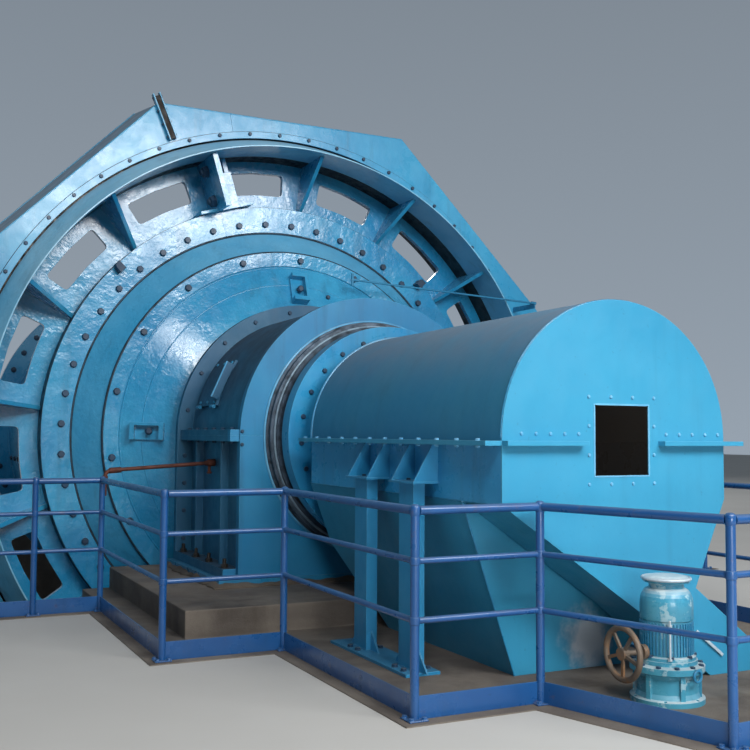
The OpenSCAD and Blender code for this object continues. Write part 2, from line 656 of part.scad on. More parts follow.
// Box whose pocket for the nuts is open towards the rim, and a strip that ties its far wall to the rim
low_lug_h = 390;
low_lug_w = 200;
low_lug_wall = 45;
strip_foot = gear_hub_r + low_lug_h - 12;
strip_end = sqrt(pow(rim_r_in - 2, 2) - pow(low_lug_w, 2));
module low_lug() {
  translate([gear_hub_r - 2, low_lug_y, 0]) difference() {
    cube([low_lug_h, web_y + 1 - low_lug_y, low_lug_w]);
    translate([pad_t + 60, low_lug_wall, low_lug_wall])
      cube([low_lug_h, web_y - low_lug_y - low_lug_wall - 10, low_lug_w - 2 * low_lug_wall]);
  }
  translate([gear_hub_r - 2, low_lug_y, 0]) cube([pad_t, web_y + 1 - low_lug_y, 360]);
  translate([strip_foot, low_lug_y + 60, low_lug_w - low_lug_wall])
    cube([strip_end - strip_foot, web_y + 1 - low_lug_y - 60, low_lug_wall]);
}
module at_split(a) on_axis() turned(gear_split_angle + a) children();
module gear_skirt() color(paint_blue) revolved([
  [skirt_r, guard_y], [rim_r_in + 12, skirt_y], [rim_r_in, skirt_y], [rim_r_in, rim_y - seat], [skirt_r, rim_y - seat]
]);

foundation_block();
feed_pier();
sole_plate();  // discharge_sole_plate
bearing_base();  // discharge_bearing_base
bearing_cap();  // discharge_bearing_cap
seal_ring();  // discharge_seal_ring
bearing_door();  // discharge_bearing_door
at_feed_end() sole_plate();  // feed_sole_plate
at_feed_end() bearing_base();  // feed_bearing_base
at_feed_end() bearing_cap();  // feed_bearing_cap
at_feed_end() seal_ring();  // feed_seal_ring
at_feed_end() bearing_door();  // feed_bearing_door
above(axis_z) guard_front();  // guard_front_upper
below(axis_z) guard_front();  // guard_front_lower
above(axis_z) guard_wrap();  // guard_wrap_upper
below(axis_z) guard_wrap();  // guard_wrap_lower
above(axis_z) guard_back();  // guard_back_upper
below(axis_z) guard_back();  // guard_back_lower
guard_retainer_ring();
hood_shell();
hood_front_plate();
hood_lower_body();
hood_back_plate();
hood_flange();
reject_chute();
discharge_hopper();
hood_legs(-1);  // hood_legs_left
hood_legs(1);  // hood_legs_right
pump_body();
pump_motor();
pump_valve();
rail_run(0);  // rail_run_1
rail_run(1);  // rail_run_2
rail_run(2);  // rail_run_3
rail_run(3);  // rail_run_4
rail_run(4);  // rail_run_5
rail_run(5);  // rail_run_6
rail_run(6);  // rail_run_7
rail_run(7);  // rail_run_8
rail_run(8);  // rail_run_9
mill_shell();
shell_flange();  // shell_flange_discharge
at_feed_end() shell_flange();  // shell_flange_feed
mill_head();  // discharge_head
end_ring();  // discharge_end_ring
at_feed_end() mill_head();  // feed_head
at_feed_end() end_ring();  // feed_end_ring
color(paint_blue) at_split(0) rim_half();  // girth_gear_upper
color(paint_blue) at_split(180) rim_half();  // girth_gear_lower
color(paint_blue) at_split(0) web_half();  // gear_web_upper
color(paint_blue) at_split(180) web_half();  // gear_web_lower
gear_skirt();
trunnion();  // discharge_trunnion
at_feed_end() trunnion();  // feed_trunnion
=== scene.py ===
"""Overflow ball mill: paint, bolts, weld beads, small fittings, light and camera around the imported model.

Metres. X runs across the mill, Y along its axis towards the feed end and Z up. Every small
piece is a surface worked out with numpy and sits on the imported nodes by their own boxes.
"""

from __future__ import annotations

import json
import logging
import math
from collections.abc import Sequence
from dataclasses import dataclass
from enum import Enum

import bmesh
import bpy
import numpy as np
from mathutils import Matrix, Vector

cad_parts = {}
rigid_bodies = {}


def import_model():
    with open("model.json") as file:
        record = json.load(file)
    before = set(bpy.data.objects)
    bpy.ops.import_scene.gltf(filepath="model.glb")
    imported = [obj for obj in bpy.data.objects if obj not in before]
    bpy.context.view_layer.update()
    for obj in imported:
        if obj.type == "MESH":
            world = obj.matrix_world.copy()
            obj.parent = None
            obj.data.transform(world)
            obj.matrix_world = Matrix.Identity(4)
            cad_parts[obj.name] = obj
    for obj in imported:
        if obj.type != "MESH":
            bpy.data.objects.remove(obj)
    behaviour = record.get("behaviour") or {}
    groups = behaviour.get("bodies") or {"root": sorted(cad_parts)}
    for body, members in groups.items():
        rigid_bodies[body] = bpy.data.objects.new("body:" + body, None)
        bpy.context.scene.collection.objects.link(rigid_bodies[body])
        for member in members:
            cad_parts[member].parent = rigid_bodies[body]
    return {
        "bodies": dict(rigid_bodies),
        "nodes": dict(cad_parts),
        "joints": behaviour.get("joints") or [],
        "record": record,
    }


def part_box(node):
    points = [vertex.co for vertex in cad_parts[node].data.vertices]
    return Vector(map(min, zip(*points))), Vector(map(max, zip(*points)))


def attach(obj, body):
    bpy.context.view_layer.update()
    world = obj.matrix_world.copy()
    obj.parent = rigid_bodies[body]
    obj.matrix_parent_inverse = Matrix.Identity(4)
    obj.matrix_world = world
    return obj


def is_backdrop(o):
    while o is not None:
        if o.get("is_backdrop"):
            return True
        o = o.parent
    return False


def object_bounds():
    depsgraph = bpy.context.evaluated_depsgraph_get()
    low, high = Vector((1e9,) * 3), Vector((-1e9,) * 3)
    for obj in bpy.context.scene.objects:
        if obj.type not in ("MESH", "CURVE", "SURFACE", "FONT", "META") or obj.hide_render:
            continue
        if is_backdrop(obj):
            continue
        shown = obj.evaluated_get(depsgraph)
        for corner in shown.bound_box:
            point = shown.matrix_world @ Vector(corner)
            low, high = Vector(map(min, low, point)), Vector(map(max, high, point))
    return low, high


LOG = logging.getLogger("ball_mill")
Array = np.ndarray
Colour = tuple[float, float, float]

AXIS_Z = 3.6
MILL_MIDDLE = 4.697
FRONT_RING = 5.495
# Middle of the hopper's pale patch: worn paint and painted reflection.
HOPPER_WORN_GLARE_SPOT = (0.12, -3.70, 2.33)

ACROSS = (1, 0, 0)
ALONG = (0, 1, 0)
UP = (0, 0, 1)
TO_FRONT = (0, -1, 0)
SIDES = (-1, 1)
TURNS = ((-1, -1), (1, -1), (1, 1), (-1, 1))
ON_DRUM = ("drum", "rotor_blue")
RING_POINTS = 240
WELD_SMOOTH = 60.0


def grid(x: float | Array, y: float | Array, z: float | Array) -> Array:
    """Points from coordinates that are numbers or arrays of one shape."""
    return np.stack(np.broadcast_arrays(x, y, z), axis=-1).astype(float)


def around(count: int) -> Array:
    """Angles in degrees at equal steps round a full turn, from 0."""
    return np.linspace(0, 360, count, endpoint=False)


def polar(radius: float | Array, degrees: float | Array, y: float | Array) -> Array:
    """Points at a radius and an angle about the mill axis.

    Args:
        radius: Distance from the axis.
        degrees: Angle above +X, seen from the discharge end.
        y: Station along the axis.

    Returns:
        An array of points with x, y and z in its last dimension.
    """
    turn = np.radians(degrees)
    return grid(radius * np.cos(turn), y, AXIS_Z + radius * np.sin(turn))


def spoke(degrees: float) -> tuple[Array, Array]:
    """Unit vectors that point outwards and along the turn at an angle about the mill axis."""
    turn = math.radians(degrees)
    return np.array([math.cos(turn), 0, math.sin(turn)]), np.array([-math.sin(turn), 0, math.cos(turn)])


@dataclass
class Shape:
    """A surface as an array of points and an array of four-cornered faces."""

    points: Array
    faces: Array

    @staticmethod
    def joined(parts: Sequence[Shape]) -> Shape:
        """All parts as one shape, each part's faces counted on from the points before it."""
        starts = np.cumsum([0] + [len(part.points) for part in parts[:-1]])
        faces = [part.faces + start for part, start in zip(parts, starts)]
        return Shape(np.concatenate([part.points for part in parts]), np.concatenate(faces))

    def mirrored(self, y: float) -> Shape:
        """The same shape at the other end of the mill, mirrored about a station on the axis."""
        return Shape(self.points * [1, -1, 1] + [0, 2 * y, 0], self.faces[:, ::-1])


def loft(rows: Array, ring: bool = False) -> Shape:
    """Skin over closed outlines: corner j of row i joins its neighbours in the row and in the next row.

    Args:
        rows: Points with the shape (rows, corners, 3).
        ring: True where the last row joins the first again.

    Returns:
        The skin. A first or last row with all its corners on one point closes that end.
    """
    count, sides = rows.shape[:2]
    i = np.arange(count if ring else count - 1)[:, None]
    j = np.arange(sides)[None, :]
    below, above, right = i * sides, ((i + 1) % count) * sides, (j + 1) % sides
    faces = np.stack([below + j, below + right, above + right, above + j], axis=-1)
    return Shape(rows.reshape(-1, 3), faces.reshape(-1, 4))


def turned(profile: Sequence[tuple[float, float]], sides: int, start: float = 0.0) -> Shape:
    """Profile turned about the local z axis: x = r cos u, y = r sin u, z = h.

    Args:
        profile: Pairs of radius r and height h, with r of 0 at a closed end.
        sides: Number of flats round the axis, 6 for a nut.
        start: Angle of the first corner in degrees.

    Returns:
        The turned surface.
    """
    radius, height = np.array(profile, float).T
    u = np.radians(start + around(sides))
    return loft(grid(radius[:, None] * np.cos(u), radius[:, None] * np.sin(u), height[:, None]))


def slab(outline: Array, low: float, high: float, chamfer: float = 0.0) -> Shape:
    """Plate with a star-shaped outline in local x and y, thick from low to high, with chamfered edges.

    Args:
        outline: Corners with the shape (corners, 2).
        low: Local z of its underside.
        high: Local z of its top.
        chamfer: Size of the chamfer along both outlines.

    Returns:
        The closed plate.
    """
    outline = np.array(outline, float)
    centre = outline.mean(axis=0)
    spokes = outline - centre
    reach = np.linalg.norm(spokes, axis=1, keepdims=True)
    inner = centre + spokes * (1 - chamfer / reach)
    middle = np.broadcast_to(centre, outline.shape)
    levels = [(middle, low), (inner, low), (outline, low + chamfer),
              (outline, high - chamfer), (inner, high), (middle, high)]
    return loft(np.array([grid(points[:, 0], points[:, 1], z) for points, z in levels]))


def box_outline(width: float, depth: float) -> Array:
    """Corners of a rectangle about the local origin."""
    return np.array(TURNS) * [width / 2, depth / 2]


def sweep(path: Array, section: Array, reference: Array, ring: bool = False) -> Shape:
    """Section carried along a path: point = path + a n + b m.

    The axes are n = reference x tangent and m = tangent x n.

    Args:
        path: Points of the centre line, with the shape (points, 3).
        section: Corners (a, b) with the shape (corners, 2), or (points, corners, 2) where it varies.
        reference: Direction that the path never runs along.
        ring: True for a closed path.

    Returns:
        The swept surface, with closed ends unless it is a ring.
    """
    path = np.array(path, float)
    if ring:
        tangent = np.roll(path, -1, axis=0) - np.roll(path, 1, axis=0)
    else:
        tangent = np.gradient(path, axis=0)
    tangent /= np.linalg.norm(tangent, axis=1, keepdims=True)
    n = np.cross(np.broadcast_to(reference, tangent.shape), tangent)
    n /= np.linalg.norm(n, axis=1, keepdims=True)
    m = np.cross(tangent, n)
    section = np.broadcast_to(section, (len(path),) + np.shape(section)[-2:])
    rows = path[:, None] + section[..., :1] * n[:, None] + section[..., 1:] * m[:, None]
    if not ring:
        ends = [np.broadcast_to(path[k], rows[0].shape)[None] for k in (0, -1)]
        rows = np.concatenate([ends[0], rows, ends[1]])
    return loft(rows, ring)


def round_section(radius: float | Array, sides: int = 10) -> Array:
    """Corners of a round section, one radius for the whole path or one for each of its points."""
    u = np.radians(around(sides))
    unit = np.stack([np.cos(u), np.sin(u)], axis=-1)
    return np.multiply.outer(radius, unit) if np.ndim(radius) else radius * unit


def spaced(corners: Sequence[Sequence[float]], step: float, closed: bool = False) -> Array:
    """Points at about equal steps along straight stretches between corners.

    Args:
        corners: The corners in order.
        step: Distance between points.
        closed: True to come back to the first corner.

    Returns:
        The points, the corners among them.
    """
    corners = np.array(corners, float)
    if closed:
        corners = np.concatenate([corners, corners[:1]])
    runs = []
    for start, end in zip(corners[:-1], corners[1:]):
        count = max(1, round(float(np.linalg.norm(end - start)) / step))
        runs.append(start + (end - start) * np.linspace(0, 1, count, endpoint=False)[:, None])
    if not closed:
        runs.append(corners[-1:])
    return np.concatenate(runs)


def weld(path: Array, radius: float, reference: Array, ring: bool = False) -> Shape:
    """Weld bead: a round section whose radius ripples with the way along the path.

    Args:
        path: Points along the joint.
        radius: Mean radius of the bead.
        reference: Direction that the path never runs along.
        ring: True for a closed path.

    Returns:
        The bead.
    """
    ripple = 1 + 0.16 * np.sin(np.arange(len(path)) * 2.1) + 0.08 * np.sin(np.arange(len(path)) * 0.73)
    return sweep(path, round_section(radius * ripple, 6), reference, ring)


def hoop(radius: float, y: float, thick: float, sides: int = 8, count: int = RING_POINTS) -> Shape:
    """Round bar bent to a circle about the mill axis.

    Args:
        radius: Radius of the circle.
        y: Station along the axis.
        thick: Radius of the bar.
        sides: Corners of the bar's section.
        count: Points round the circle.

    Returns:
        The closed hoop.
    """
    return sweep(polar(radius, around(count), y), round_section(thick, sides), ALONG, ring=True)


def bar(start: Array, end: Array, count: int, radius: float, sides: int = 10) -> Shape:
    """Straight round bar.

    Args:
        start: Middle of its first end.
        end: Middle of its other end.
        count: Points along it.
        radius: Radius of the bar.
        sides: Corners of its section.

    Returns:
        The closed bar.
    """
    return sweep(np.linspace(start, end, count), round_section(radius, sides), ALONG)


@dataclass
class Places:
    """Where copies of a small part stand: points, and unit axes as columns x, y and z for each."""

    points: Array
    axes: Array

    @staticmethod
    def standing(points: Array, up: Array, along: Array) -> Places:
        """Places whose local z is up and whose local x lies as near to along as it can."""
        points = np.atleast_2d(np.array(points, float))
        z = np.broadcast_to(np.array(up, float), points.shape)
        z = z / np.linalg.norm(z, axis=-1, keepdims=True)
        y = np.cross(z, np.broadcast_to(np.array(along, float), points.shape))
        y = y / np.linalg.norm(y, axis=-1, keepdims=True)
        return Places(points, np.stack([np.cross(y, z), y, z], axis=-1))

    @staticmethod
    def circle(radius: float, y: float, degrees: Array, facing: float = -1.0) -> Places:
        """Places on a circle about the mill axis that face along it, with local x pointing outwards."""
        degrees = np.atleast_1d(degrees)
        outward = polar(1.0, degrees, 0.0) - [0, 0, AXIS_Z]
        return Places.standing(polar(radius, degrees, y), [0, facing, 0], outward)

    @staticmethod
    def around(radius: float, y: float | Array, degrees: Array) -> Places:
        """Places on a cylinder about the mill axis that point outwards, with local x along it."""
        outward = polar(1.0, degrees, 0.0) - [0, 0, AXIS_Z]
        return Places.standing(polar(radius, degrees, y), outward, ALONG)

    def hold(self, part: Shape) -> Shape:
        """Copies of a part, one at each place."""
        points = np.einsum("nij,pj->npi", self.axes, part.points) + self.points[:, None]
        starts = np.arange(len(self.points))[:, None, None] * len(part.points)
        return Shape(points.reshape(-1, 3), (part.faces[None] + starts).reshape(-1, 4))


class Fastener(Enum):
    """Kinds of bolt: across the flats, height of the head, radius of the washer, stud above the nut."""

    HEAVY = (0.105, 0.060, 0.064, 0.025)
    STRUCTURAL = (0.062, 0.030, 0.036, 0.0)
    STUD = (0.070, 0.042, 0.042, 0.030)
    ANCHOR = (0.055, 0.034, 0.040, 0.045)
    PLATE = (0.036, 0.018, 0.021, 0.0)
    SMALL = (0.026, 0.013, 0.016, 0.0)

    def shape(self) -> Shape:
        """Washer, chamfered hexagon and, on a stud, the round end that stands above its nut."""
        flats, height, washer, stud = self.value
        corner = flats / math.sqrt(3)
        sunk = -0.002
        foot = washer * 0.16
        parts = [
            turned([(0, sunk), (washer, sunk), (washer, foot * 0.7), (washer - foot * 0.3, foot),
                    (0, foot)], 14),
            turned([(0, foot * 0.5), (corner, foot * 0.5), (corner, height * 0.84),
                    (corner * 0.84, height), (0, height)], 6),
        ]
        if stud:
            core = flats * 0.3
            top = height + stud
            parts.append(turned([(0, height - 0.004), (core, height - 0.004), (core, top - 0.006),
                                 (core - 0.006, top), (0, top)], 10))
        return Shape.joined(parts)


def tint(code: str) -> Colour:
    """Linear colour of a screen colour such as "59bee8"."""
    screen = np.array([int(code[k:k + 2], 16) for k in (0, 2, 4)]) / 255
    linear = np.where(screen <= 0.04045, screen / 12.92, ((screen + 0.055) / 1.055) ** 2.4)
    return tuple(float(c) for c in linear)


class Graph:
    """A material's nodes, with short ways to add the ones that the finishes share."""

    def __init__(self, name: str) -> None:
        """Starts an empty node tree with a Principled shader and an output."""
        self.material = bpy.data.materials.new(name)
        self.material.use_nodes = True
        self.tree = self.material.node_tree
        self.tree.nodes.clear()
        self.shader = self.add("BsdfPrincipled")
        output = self.add("OutputMaterial")
        self.link(self.shader.outputs[0], output.inputs["Surface"])
        self.where = self.add("TexCoord")

    def add(self, kind: str) -> bpy.types.Node:
        """A new node of a kind such as "Math"."""
        return self.tree.nodes.new("ShaderNode" + kind)

    def link(self, source: bpy.types.NodeSocket, target: bpy.types.NodeSocket) -> None:
        """Joins two sockets."""
        self.tree.links.new(source, target)

    def noise(self, scale: float, detail: float = 4.0, stretch: Sequence[float] = (1, 1, 1),
              shift: float = 0.0) -> bpy.types.NodeSocket:
        """Noise on Object coordinates.

        Args:
            scale: Cycles a metre before the stretch.
            detail: Octaves.
            stretch: Scale of each axis.
            shift: Moves the pattern, so that two of them differ.

        Returns:
            The noise from 0 to 1.
        """
        mapping = self.add("Mapping")
        mapping.inputs["Scale"].default_value = stretch
        mapping.inputs["Location"].default_value = (shift, shift, shift)
        node = self.add("TexNoise")
        node.inputs["Scale"].default_value = scale
        node.inputs["Detail"].default_value = detail
        node.inputs["Roughness"].default_value = 0.6
        self.link(self.where.outputs["Object"], mapping.inputs["Vector"])
        self.link(mapping.outputs[0], node.inputs["Vector"])
        return node.outputs["Fac"]

    def span(self, value: bpy.types.NodeSocket, low: float, high: float,
             start: float = 0.0, end: float = 1.0) -> bpy.types.NodeSocket:
        """Value between low and high, mapped to the range from start to end and kept in it."""
        node = self.add("MapRange")
        node.interpolation_type = "SMOOTHSTEP"
        for name, number in (("From Min", low), ("From Max", high), ("To Min", start), ("To Max", end)):
            node.inputs[name].default_value = number
        self.link(value, node.inputs["Value"])
        return node.outputs["Result"]

    def math(self, operation: str, a: bpy.types.NodeSocket,
             b: bpy.types.NodeSocket | float = 0.0) -> bpy.types.NodeSocket:
        """One Math node on a socket and a socket or number."""
        node = self.add("Math")
        node.operation = operation
        self.link(a, node.inputs[0])
        if isinstance(b, (int, float)):
            node.inputs[1].default_value = b
        else:
            self.link(b, node.inputs[1])
        return node.outputs[0]

    def blend(self, share: bpy.types.NodeSocket, a: bpy.types.NodeSocket | Colour,
              b: bpy.types.NodeSocket | Colour) -> bpy.types.NodeSocket:
        """Mix of two colours, each a socket or a fixed colour."""
        node = self.add("Mix")
        node.data_type = "RGBA"
        self.link(share, node.inputs["Factor"])
        for name, colour in (("A", a), ("B", b)):
            socket = next(s for s in node.inputs if s.name == name and s.type == "RGBA")
            if isinstance(colour, tuple):
                socket.default_value = (*colour, 1.0)
            else:
                self.link(colour, socket)
        return next(s for s in node.outputs if s.type == "RGBA")

    def near(self, place: Sequence[float], reach: float) -> bpy.types.NodeSocket:
        """A ragged mask round a place: 1 near it, falling to 0 where distance plus noise pass the reach."""
        away = self.add("VectorMath")
        away.operation = "DISTANCE"
        away.inputs[1].default_value = place
        self.link(self.where.outputs["Object"], away.inputs[0])
        rag = self.span(self.noise(7.0, 3.0, shift=13.0), 0.3, 0.7, -0.2 * reach, 0.2 * reach)
        return self.span(self.math("ADD", away.outputs["Value"], rag), reach, 0.3 * reach)

    def split(self, coordinate: str) -> bpy.types.NodeOutputs:
        """The X, Y and Z of the piece's own Object or Normal coordinates."""
        node = self.add("SeparateXYZ")
        self.link(self.where.outputs[coordinate], node.inputs[0])
        return node.outputs

    def upward(self) -> bpy.types.NodeSocket:
        """How far the surface looks up, from -1 to 1."""
        return self.split("Normal")["Z"]

    def inside(self, reach: float) -> bpy.types.NodeSocket:
        """A mask of what looks at the mill axis from beyond a reach, or at the discharge end."""
        place, normal = self.split("Object"), self.split("Normal")
        rise = self.math("SUBTRACT", place["Z"], AXIS_Z)
        across = self.math("MULTIPLY", normal["X"], place["X"])
        outward = self.math("ADD", across, self.math("MULTIPLY", normal["Z"], rise))
        back = self.span(normal["Y"], -0.5, -0.9)
        return self.math("MAXIMUM", self.span(outward, -reach, -2 * reach), back)

    def behind_front(self) -> bpy.types.NodeSocket:
        """A mask of the bearings between their drum side and the front ring, at both ends of the mill."""
        away = self.math("ABSOLUTE", self.math("SUBTRACT", self.split("Object")["Y"], MILL_MIDDLE))
        return self.span(away, FRONT_RING - 0.06, FRONT_RING - 0.12)

    def soft_edges(self, radius: float) -> tuple[bpy.types.NodeSocket, bpy.types.NodeSocket]:
        """Edges rounded in the shading, and a mask of them.

        Args:
            radius: Radius of the rounding.

        Returns:
            The rounded normal, and a value that is 1 on the edges.
        """
        bevel = self.add("Bevel")
        bevel.samples = 4
        bevel.inputs["Radius"].default_value = radius
        geometry = self.add("NewGeometry")
        dot = self.add("VectorMath")
        dot.operation = "DOT_PRODUCT"
        self.link(bevel.outputs[0], dot.inputs[0])
        self.link(geometry.outputs["Normal"], dot.inputs[1])
        return bevel.outputs[0], self.span(dot.outputs["Value"], 0.97, 0.75)

    def relief(self, height: bpy.types.NodeSocket, depth: float, strength: float = 1.0,
               normal: bpy.types.NodeSocket | None = None) -> bpy.types.NodeSocket:
        """Bump from a height, on top of another normal where one is given."""
        node = self.add("Bump")
        node.inputs["Strength"].default_value = strength
        node.inputs["Distance"].default_value = depth
        self.link(height, node.inputs["Height"])
        if normal is not None:
            self.link(normal, node.inputs["Normal"])
        return node.outputs[0]

    def dress(self, **sockets: bpy.types.NodeSocket | float | Colour) -> bpy.types.Material:
        """Sets or links the shader's sockets by name, with _ for a blank, and returns the material."""
        for name, value in sockets.items():
            socket = self.shader.inputs[name.replace("_", " ")]
            if isinstance(value, bpy.types.NodeSocket):
                self.link(value, socket)
            elif isinstance(value, tuple):
                socket.default_value = (*value, 1.0)
            else:
                socket.default_value = value
        return self.material


@dataclass(frozen=True)
class Paint:
    """Machine enamel on steel, with faded patches, runs, a tone on what looks up and lighter edges. The top
    tone is dusty on most finishes and painted top light, shade or sheen on some; the lighter edges are partly
    rubbed paint, partly painted highlight.
    """

    name: str
    fresh: Colour
    faded: Colour
    edge: Colour
    dust_light_and_shade: Colour = tint("8d8b86")
    dust_light_and_shade_share: float = 0.5
    grime: Colour = tint("1c2a33")
    grime_share: float = 0.35
    chips: Colour = tint("4a3a30")
    chip_share: float = 0.0
    gloss: tuple[float, float] = (0.22, 0.42)
    coat: float = 0.35
    cast: float = 0.0
    chip_level: float = 0.64
    settle: tuple[float, float] = (0.25, 0.95)
    inside_stain_and_shade: Colour = tint("15181a")
    inside_stain_and_shade_share: float = 0.0
    inside_reach: float = 1.0
    behind_ring_dark_share: float = 0.0
    brush: float = 0.3
    rounding: float = 0.006
    worn_glare: Colour = tint("c6ced4")
    worn_glare_place: tuple[float, float, float] = (0.0, 0.0, 0.0)
    worn_glare_reach: float = 0.0

    def build(self) -> bpy.types.Material:
        """Builds the material. The bump is brushed paint, over cast lumps where cast is above 0."""
        g = Graph(self.name)
        normal, edges = g.soft_edges(self.rounding)
        patches = g.span(g.noise(0.9, 5.0), 0.35, 0.7)
        colour = g.blend(patches, self.fresh, self.faded)
        runs = g.span(g.noise(3.2, 5.0, (1.6, 1.6, 0.14), 3.0), 0.52, 0.78, 0.0, self.grime_share)
        colour = g.blend(runs, colour, self.grime)
        specks = g.span(g.noise(38.0, 3.0, shift=7.0), 0.66, 0.74, 0.0, 0.2)
        colour = g.blend(specks, colour, self.grime)
        # Lighter edge tone: partly rubbed paint, partly painted highlight along the edges.
        colour = g.blend(g.math("MULTIPLY", edges, 0.75), colour, self.edge)
        if self.chip_share:
            chips = g.noise(9.0, 6.0, shift=11.0)
            chips = g.span(chips, self.chip_level, self.chip_level + 0.04, 0.0, self.chip_share)
            colour = g.blend(chips, colour, self.chips)
        # Pale patch on the hopper's front: partly worn paint, partly a painted reflection.
        if self.worn_glare_reach:
            colour = g.blend(g.near(self.worn_glare_place, self.worn_glare_reach), colour, self.worn_glare)
        # Tone on upward faces: dusty on most finishes; painted top light, painted top shade or painted sheen
        # on some, as each finish notes.
        settled = g.span(g.upward(), *self.settle, 0.0, self.dust_light_and_shade_share)
        dust_light_and_shade = g.math("MULTIPLY", settled, g.span(g.noise(5.0, 6.0, shift=5.0), 0.2, 0.7, 0.55, 1.0))
        colour = g.blend(dust_light_and_shade, colour, self.dust_light_and_shade)
        # Darker towards the grime colour on the bearings behind their front rings.
        if self.behind_ring_dark_share:
            colour = g.blend(g.math("MULTIPLY", g.behind_front(), self.behind_ring_dark_share), colour, self.grime)
        # Tone on faces that look inwards: the hood's stained inside, and near black painted shade inside the
        # guard.
        if self.inside_stain_and_shade_share:
            inside_tone = g.math("MULTIPLY", g.inside(self.inside_reach), self.inside_stain_and_shade_share)
            colour = g.blend(inside_tone, colour, self.inside_stain_and_shade)
        rough = g.span(g.noise(6.0, 5.0, shift=2.0), 0.3, 0.7, *self.gloss)
        rough = g.math("ADD", rough, g.math("MULTIPLY", dust_light_and_shade, 0.4))
        normal = g.relief(g.noise(160.0, 2.0), 0.0005, 0.25, normal)
        normal = g.relief(g.noise(13.0, 3.0, (1, 1, 0.6)), 0.004, self.brush, normal)
        if self.cast:
            normal = g.relief(g.noise(3.4, 4.0, shift=1.0), 0.03, self.cast, normal)
        return g.dress(Base_Color=colour, Roughness=rough, Normal=normal, Coat_Weight=self.coat,
                       Coat_Roughness=0.16)


@dataclass(frozen=True)
class Concrete:
    """Poured concrete with board marks, pores, oil stains and a paler, worn top edge."""

    name: str
    body: Colour = tint("8a8178")
    pale: Colour = tint("b1a89b")
    stain: Colour = tint("3b332c")
    stain_share: float = 0.6

    def build(self) -> bpy.types.Material:
        """Builds the material. Board marks are bands of noise that is stretched across the height."""
        g = Graph(self.name)
        normal, edges = g.soft_edges(0.02)
        colour = g.blend(g.span(g.noise(1.3, 6.0), 0.3, 0.7), self.body, self.pale)
        boards = g.span(g.noise(7.0, 2.0, (0.05, 0.05, 1.0), 4.0), 0.35, 0.65, 0.0, 0.35)
        colour = g.blend(boards, colour, self.body)
        stains = g.span(g.noise(1.9, 7.0, (1, 1, 0.5), 9.0), 0.48, 0.72, 0.0, self.stain_share)
        colour = g.blend(stains, colour, self.stain)
        colour = g.blend(g.math("MULTIPLY", edges, 0.6), colour, self.pale)
        grit = g.span(g.noise(120.0, 3.0), 0.55, 0.75, 0.0, 0.5)
        colour = g.blend(grit, colour, self.stain)
        normal = g.relief(g.noise(90.0, 5.0), 0.004, 0.5, normal)
        normal = g.relief(g.noise(6.0, 6.0, (0.4, 0.4, 1.0)), 0.012, 0.5, normal)
        rough = g.span(g.noise(4.0, 4.0), 0.3, 0.7, 0.7, 0.95)
        return g.dress(Base_Color=colour, Roughness=rough, Normal=normal)


@dataclass(frozen=True)
class Metal:
    """Bare or greasy steel with fine turning marks and spots of rust."""

    name: str
    body: Colour
    spots: Colour
    spot_share: float = 0.5
    metallic: float = 0.8
    gloss: tuple[float, float] = (0.3, 0.55)
    grain: float = 60.0
    depth: float = 0.0015

    def build(self) -> bpy.types.Material:
        """Builds the material. The spots are noise with a soft threshold."""
        g = Graph(self.name)
        normal, edges = g.soft_edges(0.003)
        spots = g.span(g.noise(9.0, 7.0), 0.42, 0.66, 0.0, self.spot_share)
        colour = g.blend(spots, self.body, self.spots)
        colour = g.blend(g.math("MULTIPLY", edges, 0.4), colour, self.body)
        rough = g.span(g.noise(14.0, 4.0), 0.3, 0.7, *self.gloss)
        rough = g.math("ADD", rough, g.math("MULTIPLY", spots, 0.25))
        normal = g.relief(g.noise(self.grain, 4.0), self.depth, 0.5, normal)
        return g.dress(Base_Color=colour, Roughness=rough, Normal=normal, Metallic=self.metallic)


@dataclass(frozen=True)
class StudioFloor:
    """Plain pale floor with a very faint mottle."""

    name: str
    body: Colour = tint("bbb9b4")

    def build(self) -> bpy.types.Material:
        """Builds the material."""
        g = Graph(self.name)
        colour = g.blend(g.span(g.noise(0.6, 4.0), 0.3, 0.7, 0.0, 0.4), self.body, tint("aeaba5"))
        return g.dress(Base_Color=colour, Roughness=0.75)


